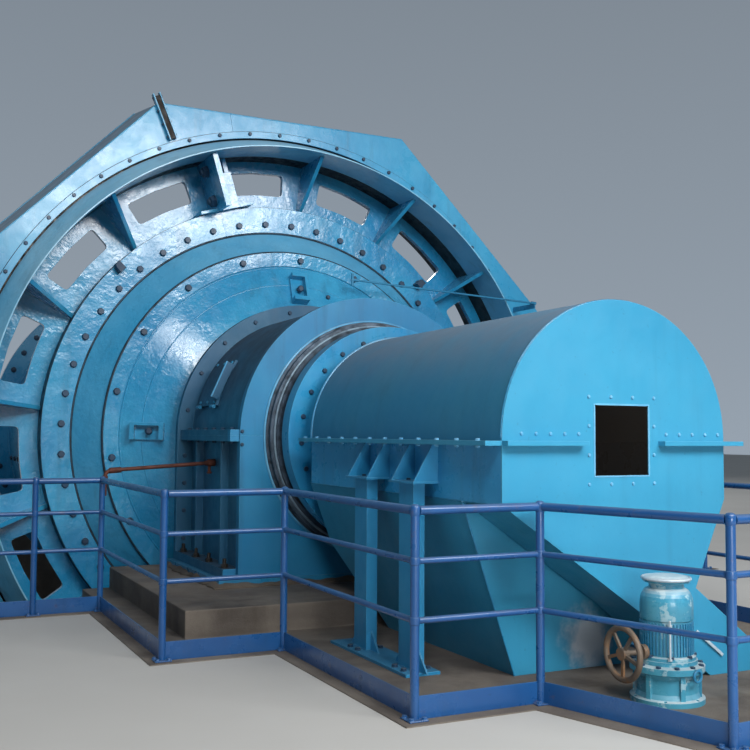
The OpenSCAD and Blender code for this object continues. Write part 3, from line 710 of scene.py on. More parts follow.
class Finish(Enum):
    """Every finish on the mill."""

    # Dark blue-grey on upward faces: partly dusty, partly painted shade on the tops.
    SKY = Paint("sky_enamel", tint("1f81b3"), tint("3495bf"), tint("62b6d8"), dust_light_and_shade=tint("37596c"),
                dust_light_and_shade_share=0.9, coat=0.25)
    # Dark blue-grey on upward faces: painted shade on the bearing caps' tops, partly dusty.
    BEARING = Paint("bearing_enamel", tint("15719f"), tint("2482ac"), tint("62b6d8"), dust_light_and_shade=tint("2f4454"),
                    dust_light_and_shade_share=0.95, settle=(0.05, 0.7), gloss=(0.36, 0.56), coat=0.06,
                    grime=tint("1b2c3c"), behind_ring_dark_share=0.55)
    SHEET = Paint("sheet_enamel", tint("2e89ae"), tint("3792b6"), tint("6fc0dc"), dust_light_and_shade_share=0.35,
                  grime_share=0.12, gloss=(0.34, 0.48), coat=0.05, rounding=0.004)
    # Pale patch on its front: partly worn paint, partly a painted reflection.
    HOPPER = Paint("hopper_enamel", tint("2e89ae"), tint("3792b6"), tint("6fc0dc"), dust_light_and_shade_share=0.35,
                   grime_share=0.12, gloss=(0.34, 0.48), coat=0.05, rounding=0.004,
                   worn_glare_place=HOPPER_WORN_GLARE_SPOT, worn_glare_reach=0.23)
    CAST = Paint("cast_enamel", tint("1f82b2"), tint("389bc4"), tint("74bfdc"), dust_light_and_shade_share=0.15,
                 gloss=(0.16, 0.36), coat=0.55, cast=0.75, brush=0.75)
    # Lighter copy of the cast enamel, with pale blue on upward faces: painted light on the end rings.
    END_RING = Paint("end_ring_enamel", tint("3394c0"), tint("54a8cf"), tint("a8d8ea"), dust_light_and_shade=tint("86b4cb"),
                     dust_light_and_shade_share=0.5, settle=(0.3, 1.0), gloss=(0.2, 0.42), coat=0.5, cast=0.6, brush=0.6)
    # Paler copy of the cast enamel, paler still on upward faces: painted light from above on the gear skirt.
    SKIRT = Paint("skirt_enamel", tint("66b0d2"), tint("8fc5de"), tint("c4e2ee"), dust_light_and_shade=tint("b4cedb"),
                  dust_light_and_shade_share=0.5, gloss=(0.3, 0.5), coat=0.3, cast=0.5)
    GUARD = Paint("guard_enamel", tint("2d90bb"), tint("46a5cb"), tint("8bcae4"), gloss=(0.24, 0.46),
                  coat=0.35, cast=0.14, rounding=0.004)
    # Near black on the inner faces of the guard's wrap and back plates: painted shade inside the closed
    # guard.
    GUARD_INSIDE = Paint("guard_shell_enamel", tint("20729a"), tint("2b81a8"), tint("57a8ca"),
                         inside_stain_and_shade_share=0.9, rounding=0.004)
    HOOD = Paint("hood_enamel", tint("277aa2"), tint("327f9f"), tint("5aa5c6"), dust_light_and_shade=tint("65788a"),
                 dust_light_and_shade_share=0.9, gloss=(0.5, 0.7), coat=0.0, grime_share=0.2,
                 inside_stain_and_shade=tint("7d7064"), inside_stain_and_shade_share=0.95, inside_reach=0.25)
    HOOD_LOWER = Paint("hood_lower_enamel", tint("2f90c4"), tint("3d9dcd"), tint("5aa8ca"),
                       dust_light_and_shade=tint("486778"), coat=0.15, inside_stain_and_shade=tint("7d7064"), inside_stain_and_shade_share=0.95,
                       inside_reach=0.25)
    LEGS = Paint("leg_enamel", tint("2683b2"), tint("3592be"), tint("7cc3e0"), dust_light_and_shade=tint("486778"),
                 gloss=(0.3, 0.5), coat=0.1, rounding=0.004)
    DEEP = Paint("deep_enamel", tint("1e759f"), tint("2a83ab"), tint("5aa8ca"), dust_light_and_shade=tint("486778"))
    # Grey on upward faces: partly dusty, partly painted sheen on the rails' tops.
    RAIL = Paint("rail_enamel", tint("154a82"), tint("1e5994"), tint("4c80b4"), dust_light_and_shade=tint("56646f"),
                 dust_light_and_shade_share=0.45, chips=tint("6b4a42"), chip_share=0.2, grime_share=0.3,
                 gloss=(0.24, 0.42), rounding=0.004)
    # Dark navy bolts: the bolts carry the body's blue; the dark tone is grime and painted shade round their
    # heads.
    BOLT = Paint("bolt_enamel", tint("102f48"), tint("183f5c"), tint("285f82"), gloss=(0.4, 0.6),
                 coat=0.1, dust_light_and_shade_share=0.2, grime_share=0.6, rounding=0.003)
    SKY_BOLT = Paint("sky_bolt_enamel", tint("4593bf"), tint("6db1d3"), tint("a3d6ea"), rounding=0.003)
    TEAL = Paint("pump_enamel", tint("2a7c9c"), tint("55a9bf"), tint("8ccbd6"), dust_light_and_shade=tint("c9cdc9"),
                 dust_light_and_shade_share=0.75, chips=tint("b4cdd1"), chip_share=0.55, chip_level=0.56, grime_share=0.4,
                 rounding=0.004)
    CONCRETE = Concrete("foundation_concrete", tint("5c544d"), tint("81786d"))
    GROUT = Concrete("grout", tint("4d443b"), tint("6f6558"), tint("1c1714"), 0.85)
    SEAL = Metal("greasy_seal", tint("2b2926"), tint("110e0c"), 0.8, 0.3, (0.25, 0.5))
    SEAL_RING = Metal("seal_ring_steel", tint("3b4c5c"), tint("141d25"), 0.8, 0.3, (0.4, 0.6))
    RING = Metal("clamp_ring_steel", tint("7d93a2"), tint("34424e"), 0.6, 0.3, (0.35, 0.6))
    # Grease and painted shade in the drum's joints.
    JOINT = Metal("joint_grease_and_shade", tint("143246"), tint("0c161d"), 0.8, 0.0, (0.4, 0.6))
    # Also the dark strip of painted shadow in the guard's joints.
    FELT_AND_SHADOW = Metal("oily_felt_and_painted_shadow", tint("151210"), tint("30241a"), 0.5, 0.0, (0.4, 0.75), 160.0, 0.004)
    RUST = Metal("rusty_pipe", tint("5d3225"), tint("2c1c17"), 0.7, 0.25, (0.55, 0.8), 120.0)
    IRON = Metal("worn_iron", tint("75685b"), tint("9c7048"), 0.7, 0.4, (0.45, 0.7))
    # Whitish paint of the pump's cap and conduit, and the painted highlight strip on the hood's front bar.
    WHITE = Paint("white_paint_and_highlight", tint("a9bcc8"), tint("c9d4da"), tint("e6eef0"), grime_share=0.5)


@dataclass
class Stations:
    """Places along the mill and radii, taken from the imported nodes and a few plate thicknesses."""

    plate: float = 0.012
    flange: float = 0.08
    band_step: float = 0.3
    web_step: float = 0.213
    retainer_w: float = 0.07
    door_rise: float = 0.152
    spout_step: float = 0.34
    front_inset: float = 0.01
    split_drop: float = 0.03

    def __post_init__(self) -> None:
        """Reads the boxes of the nodes that the fittings sit on."""
        low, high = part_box("mill_shell")
        self.mid = (low.y + high.y) / 2
        self.shell, self.shell_r = low.y, high.x
        self.gear = self.shell - 2 * self.flange
        self.band = self.gear - self.band_step
        self.web = self.gear + self.web_step
        self.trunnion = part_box("discharge_trunnion")[0].y + self.spout_step
        self.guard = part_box("guard_wrap_upper")[0].y - self.plate
        self.guard_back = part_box("guard_back_upper")[1].y
        self.guard_back_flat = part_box("guard_back_upper")[1].x
        self.opening_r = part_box("guard_retainer_ring")[1].x - self.retainer_w
        self.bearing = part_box("discharge_bearing_base")
        self.cap_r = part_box("discharge_bearing_cap")[1].z - AXIS_Z - self.door_rise
        self.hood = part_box("hood_shell")
        self.hood_r = self.hood[1].x
        self.hood_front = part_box("hood_front_plate")[0].y + self.front_inset
        self.split = AXIS_Z - self.split_drop
        self.motor, self.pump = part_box("pump_motor"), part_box("pump_body")
        self.floor, self.rail_top = (corner.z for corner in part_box("rail_run_2"))


class Bench:
    """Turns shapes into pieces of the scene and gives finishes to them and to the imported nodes."""

    def __init__(self, nodes: dict[str, bpy.types.Object]) -> None:
        """Builds every finish once."""
        self.nodes = nodes
        self.materials = {finish: finish.value.build() for finish in Finish}

    def dress(self, finish: Finish, *names: str) -> None:
        """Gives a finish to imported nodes."""
        for name in names:
            for slot in self.nodes[name].material_slots:
                slot.material = self.materials[finish]

    def piece(self, name: str, parts: Sequence[Shape], finish: Finish, body: str = "plant",
              slot: str = "paint_blue", smooth: float = 35.0) -> None:
        """Makes one joined mesh with merged corners and outward faces.

        Args:
            name: Name of the piece.
            parts: Its shapes.
            finish: Its finish.
            body: The body that it rides on.
            slot: Not used.
            smooth: Angle in degrees up to which edges are shaded smooth.
        """
        shape = Shape.joined(parts)
        mesh = bpy.data.meshes.new(name)
        mesh.from_pydata(shape.points.tolist(), [], shape.faces.tolist())
        work = bmesh.new()
        work.from_mesh(mesh)
        bmesh.ops.remove_doubles(work, verts=work.verts, dist=0.00002)
        bmesh.ops.recalc_face_normals(work, faces=work.faces)
        work.to_mesh(mesh)
        work.free()
        mesh.shade_smooth()
        mesh.set_sharp_from_angle(angle=math.radians(smooth))
        mesh.materials.append(self.materials[finish])
        obj = bpy.data.objects.new(name, mesh)
        bpy.context.scene.collection.objects.link(obj)
        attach(obj, body)
        LOG.info("%s: %d faces on %s", name, len(mesh.polygons), body)


@dataclass
class DrumFittings:
    """Bolts, lugs, seams, and grease and painted shade in the joints, that turn with the drum."""

    at: Stations
    gear_bolts: int = 48
    gear_bolt_r: float = 2.33
    gear_bolt_start: float = 184.9
    band_bolts: int = 18
    band_bolt_r: float = 1.896
    band_bolt_start: float = 206.9
    spout_bolts: int = 24
    spout_bolt_r: float = 0.832
    spout_bolt_start: float = 4.0
    head_slope: float = 21.0
    lift_r: float = 1.565
    lift_start: float = 88.7
    lift_sunk: float = 0.165
    plug_r: float = 1.554
    plug_angles: tuple[float, ...] = (75.6, 255.6)
    plug_sunk: float = 0.11
    ridges: tuple[tuple[float, float], ...] = ((1.605, -0.074), (1.806, 0.009))
    ridge_thick: float = 0.009
    split_angles: tuple[float, ...] = (106.5, 286.5)
    lug_bolts_r: tuple[float, ...] = (2.63, 2.95)
    lug_half: float = 0.055
    lug_reach: float = 0.3
    low_lug_bolts_r: tuple[float, ...] = (2.66, 2.82)
    low_lug_width: float = 0.2
    low_lug_reach: float = 0.17
    eye_r: float = 2.485
    eye_start: float = 46.0
    hub_r: float = 2.52
    hub_inner_r: float = 2.235
    band_r: float = 1.974
    liner_rows: int = 18
    liner_step: float = 0.42
    liner_margin: float = 0.25
    liner_start: float = 10.0
    courses: int = 4
    seam_thick: float = 0.009
    fillet_thick: float = 0.016

    def build(self, bench: Bench) -> None:
        """Builds every piece of the drum and gives the drum's nodes their finish."""
        bench.dress(Finish.CAST, "discharge_head", "feed_head", "gear_web_upper", "gear_web_lower")
        bench.dress(Finish.END_RING, "discharge_end_ring", "feed_end_ring")
        bench.dress(Finish.SKIRT, "gear_skirt")
        bench.dress(Finish.SKY, "mill_shell", "shell_flange_discharge", "shell_flange_feed",
                    "discharge_trunnion", "feed_trunnion")
        bench.dress(Finish.SEAL, "girth_gear_upper", "girth_gear_lower")
        self.flange_bolts(bench)
        self.head_bolts(bench)
        self.head_trim(bench)
        self.split_fittings(bench)
        self.shell_fittings(bench)
        self.joints(bench)

    def both_ends(self, shape: Shape) -> list[Shape]:
        """The shape at the discharge end and mirrored at the feed end."""
        return [shape, shape.mirrored(self.at.mid)]

    def flange_bolts(self, bench: Bench) -> None:
        """Bolts of the gear flange and their nuts behind the shell flange, and the same at the feed end."""
        angles = self.gear_bolt_start - around(self.gear_bolts)
        bolt = Fastener.STRUCTURAL.shape()
        front = Places.circle(self.gear_bolt_r, self.at.gear, angles).hold(bolt)
        feed_face = self.at.gear + self.at.flange
        feed = Places.circle(self.gear_bolt_r, feed_face, angles).hold(bolt).mirrored(self.at.mid)
        back = Places.circle(self.gear_bolt_r, self.at.shell + self.at.flange, angles, 1.0)
        nuts = back.hold(Fastener.STUD.shape())
        bench.piece("flange_bolts", [front, feed], Finish.BOLT, *ON_DRUM)
        bench.piece("flange_nuts", self.both_ends(nuts), Finish.BOLT, *ON_DRUM)

    def head_bolts(self, bench: Bench) -> None:
        """Bolts of the ring band and of the trunnion flange."""
        angles = self.band_bolt_start - around(self.band_bolts)
        bolts = Places.circle(self.band_bolt_r, self.at.band, angles).hold(Fastener.STRUCTURAL.shape())
        angles = self.spout_bolt_start + around(self.spout_bolts)
        studs = Places.circle(self.spout_bolt_r, self.at.trunnion, angles).hold(Fastener.PLATE.shape())
        bench.piece("head_band_bolts", self.both_ends(bolts), Finish.BOLT, *ON_DRUM)
        bench.piece("trunnion_flange_bolts", self.both_ends(studs), Finish.BOLT, *ON_DRUM)

    def head_trim(self, bench: Bench) -> None:
        """Knobs in the lifting lugs, plugs on the cone and two cast ridges round it."""
        lift = Places.circle(self.lift_r, self.at.band - self.lift_sunk, self.lift_start + around(4))
        knob = turned([(0, -0.09), (0.022, -0.09), (0.026, 0.01), (0.036, 0.018), (0.036, 0.034),
                       (0.024, 0.044), (0, 0.044)], 16)
        plug_y = self.at.band - self.plug_sunk * math.cos(math.radians(self.head_slope))
        plugs = Places.circle(self.plug_r, plug_y, np.array(self.plug_angles))
        plug = turned([(0, -0.03), (0.024, -0.03), (0.024, 0.02), (0.016, 0.028), (0, 0.028)], 8)
        bench.piece("lifting_lug_knobs", self.both_ends(lift.hold(knob)), Finish.BOLT, *ON_DRUM)
        bench.piece("head_plugs", self.both_ends(plugs.hold(plug)), Finish.BOLT, *ON_DRUM)
        rings = []
        for radius, out in self.ridges:
            rings += self.both_ends(hoop(radius, self.at.band + out, self.ridge_thick))
        bench.piece("head_ridges", rings, Finish.CAST, *ON_DRUM, WELD_SMOOTH)

    def split_fittings(self, bench: Bench) -> None:
        """Bolts through the lugs of the gear's split, and four small lifting eyes on its hub ring."""
        parts = []
        for split in self.split_angles:
            outward, tangent = spoke(split)
            for radius in self.lug_bolts_r:
                foot = [0, self.at.web - self.lug_reach, AXIS_Z] + outward * radius + tangent * self.lug_half
                parts.append(Places.standing(foot, tangent, ALONG).hold(Fastener.HEAVY.shape()))
            for radius in self.low_lug_bolts_r:
                foot = [0, self.at.web - self.low_lug_reach, AXIS_Z] + outward * radius
                foot = foot - tangent * self.low_lug_width
                parts.append(Places.standing(foot, -tangent, ALONG).hold(Fastener.STRUCTURAL.shape()))
        bench.piece("gear_split_bolts", parts, Finish.BOLT, *ON_DRUM)
        outline = np.array([[-0.05, -0.03], [0.05, -0.03], [0.05, 0.03], [0.02, 0.05], [-0.05, 0.05]])
        eyes = Places.circle(self.eye_r, self.at.gear, self.eye_start + around(4))
        bench.piece("gear_lifting_eyes", [eyes.hold(slab(outline, -0.02, 0.1, 0.008))], Finish.BOLT, *ON_DRUM)

    def joints(self, bench: Bench) -> None:
        """Dark rings in the steps between gear hub, end ring and ring band, and a dark sleeve on the hub's
        outer face: grease and painted shade.
        """
        front = self.at.gear
        beads = []
        steps = ((self.hub_inner_r, front + 0.010, 0.014), (self.band_r, self.at.band + 0.025, 0.015))
        for radius, y, thick in steps:
            beads += self.both_ends(hoop(radius, y, thick))
        # Dark sleeve on the hub's outer face: painted shade beside the hub, with grease.
        depth = self.at.web - front
        face = polar(self.hub_r + 0.001, around(RING_POINTS), front + depth / 2 + 0.004)
        sleeve = sweep(face, box_outline(0.006, depth - 0.006), ALONG, ring=True)
        bench.piece("drum_joint_grease_and_shade", [*beads, sleeve], Finish.JOINT, *ON_DRUM, WELD_SMOOTH)

    def shell_fittings(self, bench: Bench) -> None:
        """Liner bolts in rows, welds between the shell's courses and fillets along its end flanges."""
        length = 2 * (self.at.mid - self.at.shell)
        span = length - 2 * self.liner_margin
        steps = round(span / self.liner_step)
        y = self.at.shell + self.liner_margin + np.arange(steps + 1) * span / steps
        grid_y, grid_a = (a.ravel() for a in np.meshgrid(y, self.liner_start + around(self.liner_rows)))
        keep = grid_y > self.at.guard_back + 0.1
        places = Places.around(self.at.shell_r, grid_y[keep], grid_a[keep])
        bench.piece("liner_bolts", [places.hold(Fastener.STRUCTURAL.shape())], Finish.BOLT, *ON_DRUM)
        seams = []
        for y in np.linspace(self.at.shell, self.at.shell + length, self.courses + 1)[1:-1]:
            path = polar(self.at.shell_r, around(RING_POINTS), y)
            seams.append(weld(path, self.seam_thick, ALONG, ring=True))
        for y in (self.at.shell + self.at.flange, self.at.shell + length - self.at.flange):
            path = polar(self.at.shell_r + 0.004, around(RING_POINTS), y)
            seams.append(weld(path, self.fillet_thick, ALONG, ring=True))
        bench.piece("shell_welds", seams, Finish.SKY, *ON_DRUM, WELD_SMOOTH)


@dataclass
class GuardFittings:
    """Bolts, seams and edge welds of the gear guard."""

    at: Stations
    ring_bolts: int = 60
    ring_bolt_start: float = 1.5
    ring_bolt_out: float = 0.045
    gap_shade_out: float = 0.071
    gap_shade_thick: float = 0.005
    seam_angles: tuple[float, ...] = (100.5, 280.5)
    seam_out: float = 0.168
    seam_size: tuple[float, float] = (0.19, 0.024)
    joint_angles: tuple[float, ...] = (22.5, 112.5, 202.5, 292.5)
    joint_bolts: int = 4
    joint_bolt_span: tuple[float, float] = (0.13, 0.55)
    joint_half: float = 0.041
    shadow_strip_out: float = 0.33
    shadow_strip_size: tuple[float, float] = (0.47, 0.056)
    plate_out: float = 0.21
    edge_inset: float = 0.006
    bead: float = 0.009
    bead_step: float = 0.03

    def build(self, bench: Bench) -> None:
        """Builds every piece of the guard and gives its nodes their finish."""
        bench.dress(Finish.GUARD, "guard_front_upper", "guard_front_lower", "guard_retainer_ring")
        bench.dress(Finish.GUARD_INSIDE, "guard_wrap_upper", "guard_wrap_lower",
                    "guard_back_upper", "guard_back_lower")
        self.ring(bench)
        self.seams(bench)
        self.edges(bench)

    def ring(self, bench: Bench) -> None:
        """Small bolts on the retainer ring round the opening, and a dark bead along its outer edge: painted
        shade in the gap there.
        """
        angles = around(self.ring_bolts) + self.ring_bolt_start
        places = Places.circle(self.at.opening_r + self.ring_bolt_out, self.at.guard - 0.01, angles)
        bench.piece("retainer_bolts", [places.hold(Fastener.PLATE.shape())], Finish.BOLT)
        # Dark bead at the retainer's outer edge: painted shade in the gap.
        bead = hoop(self.at.opening_r + self.gap_shade_out, self.at.guard - 0.002, self.gap_shade_thick, 6, 360)
        bench.piece("retainer_gap_shade", [bead], Finish.BOLT, slot="seal_grey", smooth=WELD_SMOOTH)

    def seams(self, bench: Bench) -> None:
        """Cover strips over the front plate's seams, bolts in the section joints, and a dark strip of painted
        shadow in each joint.
        """
        places = Places.circle(self.at.opening_r + self.seam_out, self.at.guard, np.array(self.seam_angles))
        strips = places.hold(slab(box_outline(*self.seam_size), -0.001, 0.006, 0.002))
        radii = self.at.opening_r + np.linspace(*self.joint_bolt_span, self.joint_bolts)
        bolts = []
        for angle in self.joint_angles:
            outward, tangent = spoke(angle)
            base = [0, self.at.guard - 0.03, AXIS_Z] + outward * radii[:, None]
            for side in SIDES:
                places = Places.standing(base + tangent * side * self.joint_half, tangent * side, outward)
                bolts.append(places.hold(Fastener.SMALL.shape()))
        # Dark strip between each pair of joint plates: painted shadow in the gap.
        angles = np.array(self.joint_angles)
        places = Places.circle(self.at.opening_r + self.shadow_strip_out, self.at.guard, angles)
        shadow_strip = places.hold(slab(box_outline(*self.shadow_strip_size), -0.05, 0.048, 0.004))
        bench.piece("guard_joint_shadow_strip", [shadow_strip], Finish.FELT_AND_SHADOW, slot="seal_grey")
        bench.piece("guard_seam_strips", [strips], Finish.GUARD)
        bench.piece("guard_joint_bolts", bolts, Finish.BOLT)

    def edges(self, bench: Bench) -> None:
        """Weld beads on the octagon's corners, where the front and back plates meet the sloping wrap."""
        corner = 1 / math.cos(math.radians(22.5))
        front = (self.at.opening_r + self.plate_out, self.at.guard + self.edge_inset)
        back = (self.at.guard_back_flat, self.at.guard_back - self.edge_inset)
        beads = []
        for flat, y in (front, back):
            octagon = polar(flat * corner, 22.5 + around(8), y)
            beads.append(weld(spaced(octagon, self.bead_step, closed=True), self.bead, ALONG, ring=True))
        bench.piece("guard_edge_welds", beads, Finish.GUARD, smooth=WELD_SMOOTH)


@dataclass
class BearingFittings:
    """Bolts, rings, seal, door trim, drain pipe and grout of both trunnion bearings."""

    at: Stations
    flange_t: float = 0.07
    flange_bolt_r: float = 1.275
    arc_bolts: int = 10
    arc_span: tuple[float, float] = (11.0, 169.0)
    side_bolts: int = 4
    split_bolt_x: float = 1.265
    split_bolts: int = 6
    split_half: float = 0.05
    ear_x: float = 1.22
    anchor_x: float = 1.305
    foot_t: float = 0.08
    clamp_rings: tuple[tuple[float, float, float], ...] = ((0.988, 0.052, 0.014), (0.968, 0.104, 0.012))
    rim_r: float = 1.022
    rim_thick: float = 0.013
    door_angle: float = 156.0
    door_half: float = 0.18
    door_middle: float = 0.841
    door_edges: tuple[float, float] = (165.5, 146.5)
    hinge_angle: float = 167.6
    lip_out: float = 0.076
    drain_start: tuple[float, float, float] = (-1.19, 0.03, 3.352)
    drain_end: tuple[float, float, float] = (-2.13, 0.0, 3.292)
    drain_r: float = 0.017
    drain_bend: float = 0.06
    spray_start: tuple[float, float, float] = (3.0, 1.0, 5.19)
    spray_end: tuple[float, float, float] = (0.62, 1.0, 5.297)
    spray_r: float = 0.011

    def build(self, bench: Bench) -> None:
        """Builds every piece of the bearings and gives their nodes their finish."""
        for end in ("discharge", "feed"):
            bench.dress(Finish.BEARING, f"{end}_bearing_base", f"{end}_bearing_cap", f"{end}_bearing_door")
            bench.dress(Finish.DEEP, f"{end}_sole_plate")
            bench.dress(Finish.SEAL_RING, f"{end}_seal_ring")
        self.front, self.back = self.at.bearing[0].y, self.at.bearing[1].y
        self.foot = self.at.bearing[0].z
        self.flange_face = self.back - self.flange_t
        both = self.both
        bench.piece("bearing_flange_bolts", both(self.flange_bolts()), Finish.BOLT)
        bench.piece("bearing_split_bolts", both(self.split_studs()), Finish.BOLT)
        bench.piece("bearing_anchor_nuts", both(self.anchors()), Finish.SEAL, slot="seal_grey")
        bench.piece("bearing_cover_rings", both(self.rings()), Finish.RING, slot="seal_grey")
        bench.piece("bearing_rims", both(self.rims()), Finish.SKY_BOLT)
        bench.piece("bearing_door_trim", both(self.door_trim()), Finish.DEEP)
        bench.piece("bearing_grout", both(self.grout()), Finish.GROUT, slot="concrete", smooth=50)
        bench.piece("seal_felt", [self.felt()], Finish.FELT_AND_SHADOW, slot="seal_grey", smooth=WELD_SMOOTH)
        bench.piece("drain_pipe", self.drain_pipe(), Finish.RUST, slot="rusty_iron")
        bench.piece("spray_pipe", self.spray_pipe(), Finish.DEEP)

    def both(self, parts: Sequence[Shape]) -> list[Shape]:
        """The parts at the discharge end and mirrored at the feed end."""
        return [*parts, *(part.mirrored(self.at.mid) for part in parts)]

    def flange_bolts(self) -> list[Shape]:
        """Bolts on the flange at the drum side, round the cap and down both sides of the base."""
        arc = Places.circle(self.flange_bolt_r, self.flange_face, np.linspace(*self.arc_span, self.arc_bolts))
        parts = [arc]
        heights = np.linspace(self.foot + 0.2, AXIS_Z - 0.2, self.side_bolts)
        for side in SIDES:
            points = grid(side * self.flange_bolt_r, self.flange_face, heights)
            parts.append(Places.standing(points, TO_FRONT, UP))
        return [places.hold(Fastener.PLATE.shape()) for places in parts]

    def split_studs(self) -> list[Shape]:
        """Studs with nuts above and below the flanges that join cap and base, and bolts in their ends."""
        y = np.linspace(self.front + 0.13, self.flange_face - 0.13, self.split_bolts)
        parts = []
        for side in SIDES:
            for up in (1, -1):
                points = grid(side * self.split_bolt_x, y, AXIS_Z + up * self.split_half)
                parts.append(Places.standing(points, [0, 0, up], ALONG).hold(Fastener.PLATE.shape()))
            ears = grid(side * self.ear_x, self.front - 0.001, AXIS_Z + np.array([0.035, -0.075]))
            parts.append(Places.standing(ears, TO_FRONT, ACROSS).hold(Fastener.SMALL.shape()))
        return parts

    def anchors(self) -> list[Shape]:
        """Foundation bolts through the base's foot flange."""
        front, back = self.front, self.flange_face
        y = np.array([front + 0.17, front + 0.62, back - 0.55, back - 0.12])
        rows = [grid(side * self.anchor_x, y, self.foot + self.foot_t) for side in SIDES]
        return [Places.standing(points, UP, ALONG).hold(Fastener.ANCHOR.shape()) for points in rows]

    def rings(self) -> list[Shape]:
        """Thin bright clamp rings on the seal."""
        return [hoop(radius, self.front - out, thick, 8, 180) for radius, out, thick in self.clamp_rings]

    def rims(self) -> list[Shape]:
        """Painted rims: round the front plate's opening and along the lip of the door."""
        rim = hoop(self.rim_r, self.front - 0.004, self.rim_thick, 8, 180)
        outward, tangent = spoke(self.door_angle)
        along = np.linspace(-self.door_half, self.door_half, 30)[:, None]
        lip = [0, self.front + self.door_middle, AXIS_Z] + tangent * along
        lip = lip + outward * (self.at.cap_r + self.lip_out)
        return [rim, sweep(lip, round_section(0.009, 10), ALONG)]

    def door_trim(self) -> list[Shape]:
        """Screws along the door's edges and hinge knuckles at its foot."""
        radius = self.at.cap_r + 0.026
        y = self.front + 0.82 + np.array([0.08, 0.3, 0.52])
        screw = Fastener.SMALL.shape()
        screws = [Places.around(radius, y, np.full(len(y), angle)).hold(screw) for angle in self.door_edges]
        barrel = turned([(0, -0.045), (0.018, -0.045), (0.018, 0.045), (0, 0.045)], 12)
        hinges = Places.standing(polar(radius + 0.012, self.hinge_angle, y[::2]), ALONG, UP)
        return [*screws, hinges.hold(barrel)]

    def grout(self) -> list[Shape]:
        """Grout skirt round the sole plate: a sloped section whose foot wanders with layered sines."""
        low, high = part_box("discharge_sole_plate")
        corners = [(low.x, low.y), (high.x, low.y), (high.x, high.y), (low.x, high.y)]
        path = spaced(corners, 0.05, closed=True)
        way = np.arange(len(path))
        spill = 0.05 + 0.016 * np.sin(way * 0.37)
        spill = spill + 0.011 * np.sin(way * 1.13 + 1) + 0.007 * np.sin(way * 2.31)
        rise = 0.034 + 0.008 * np.sin(way * 0.61) + 0.006 * np.sin(way * 1.7)
        away = path - [(low.x + high.x) / 2, (low.y + high.y) / 2]
        away = np.sign(away) * (np.abs(away) > np.abs(away).max(axis=0) - 0.001)
        section = [(-0.02, 0 * rise), (0 * spill - 0.02, rise), (0.25 * spill, rise), (spill, 0.3 * rise),
                   (spill, 0 * rise)]
        rows = []
        for out, up in section:
            edge = path + away * np.reshape(out, (-1, 1))
            rows.append(grid(edge[:, 0], edge[:, 1], low.z - 0.002 + up))
        return [loft(np.swapaxes(np.array(rows), 0, 1), ring=True)]

    def felt(self) -> Shape:
        """Seal strip that has slipped from its groove: its radius falls from 9 o'clock to its free end."""
        share = np.linspace(0, 1, 60)
        angle = 178 + 69 * share
        radius = 0.955 - 0.012 * share - 0.125 * share ** 2.2
        y = self.front - 0.075 - 0.085 * share ** 1.5
        thick = 0.011 + 0.019 * np.sin(math.pi * np.clip(share * 1.05, 0, 1)) ** 0.6
        section = box_outline(2, 2) * np.stack([thick, 0.02 + 0.012 * share], axis=-1)[:, None]
        return sweep(polar(radius, angle, y), section, ALONG)

    def drain_pipe(self) -> list[Shape]:
        """Rusty pipe from the bearing's side: a straight run, an elbow and a drop, with sockets and cock."""
        start, end = np.array(self.drain_start), np.array(self.drain_end)
        bend = np.radians(np.linspace(0, 90, 9))
        elbow = end + self.drain_bend * grid(-np.sin(bend), 0, np.cos(bend) - 1)
        drop = elbow[-1] - grid(0, 0, np.linspace(0.02, 0.16, 5))
        run = start + (end - start) * np.linspace(0, 1, 20, endpoint=False)[:, None]
        pipe = sweep(np.concatenate([run, elbow, drop]), round_section(self.drain_r, 12), ALONG)
        inner, outer = start - [0.075, 0, 0.004], start - [0.1, 0, 0.006]
        sockets = ((start - [0.005, 0, 0], inner, 0.034), (run[-1] + [0.03, 0, 0], elbow[2], 0.025),
                   (elbow[-2], drop[1], 0.025), (inner, outer, 0.024))
        collars = [bar(a, b, 4, radius, 12) for a, b, radius in sockets]
        cock = turned([(0, 0), (0.014, 0), (0.014, 0.05), (0.024, 0.055), (0.024, 0.07), (0, 0.07)], 10)
        place = Places.standing(start - [0.06, 0.0, 0.03], [0, 0, -1], ACROSS)
        return [pipe, *collars, place.hold(cock)]

    def spray_pipe(self) -> list[Shape]:
        """Thin pipe across the head from a bracket on the guard, with a T piece at its free end."""
        start, end = np.array(self.spray_start), np.array(self.spray_end)
        pipe = bar(start, end, 30, self.spray_r)
        cross = bar(end - [0, 0, 0.07], end + [0, 0, 0.07], 5, 0.016)
        socket = bar(end, end + [0.07, 0, -0.003], 4, 0.017)
        foot = start - [0, 0, 0.035]
        flat = spaced([(foot[0], self.at.guard + 0.001, foot[2]), foot - [0, 0.03, 0]], 0.05)
        bracket = sweep(flat, box_outline(0.012, 0.06), UP)
        clip = bar(start + [0.03, 0, -0.002], start - [0.03, 0, -0.002], 4, 0.019)
        return [pipe, cross, socket, bracket, clip]


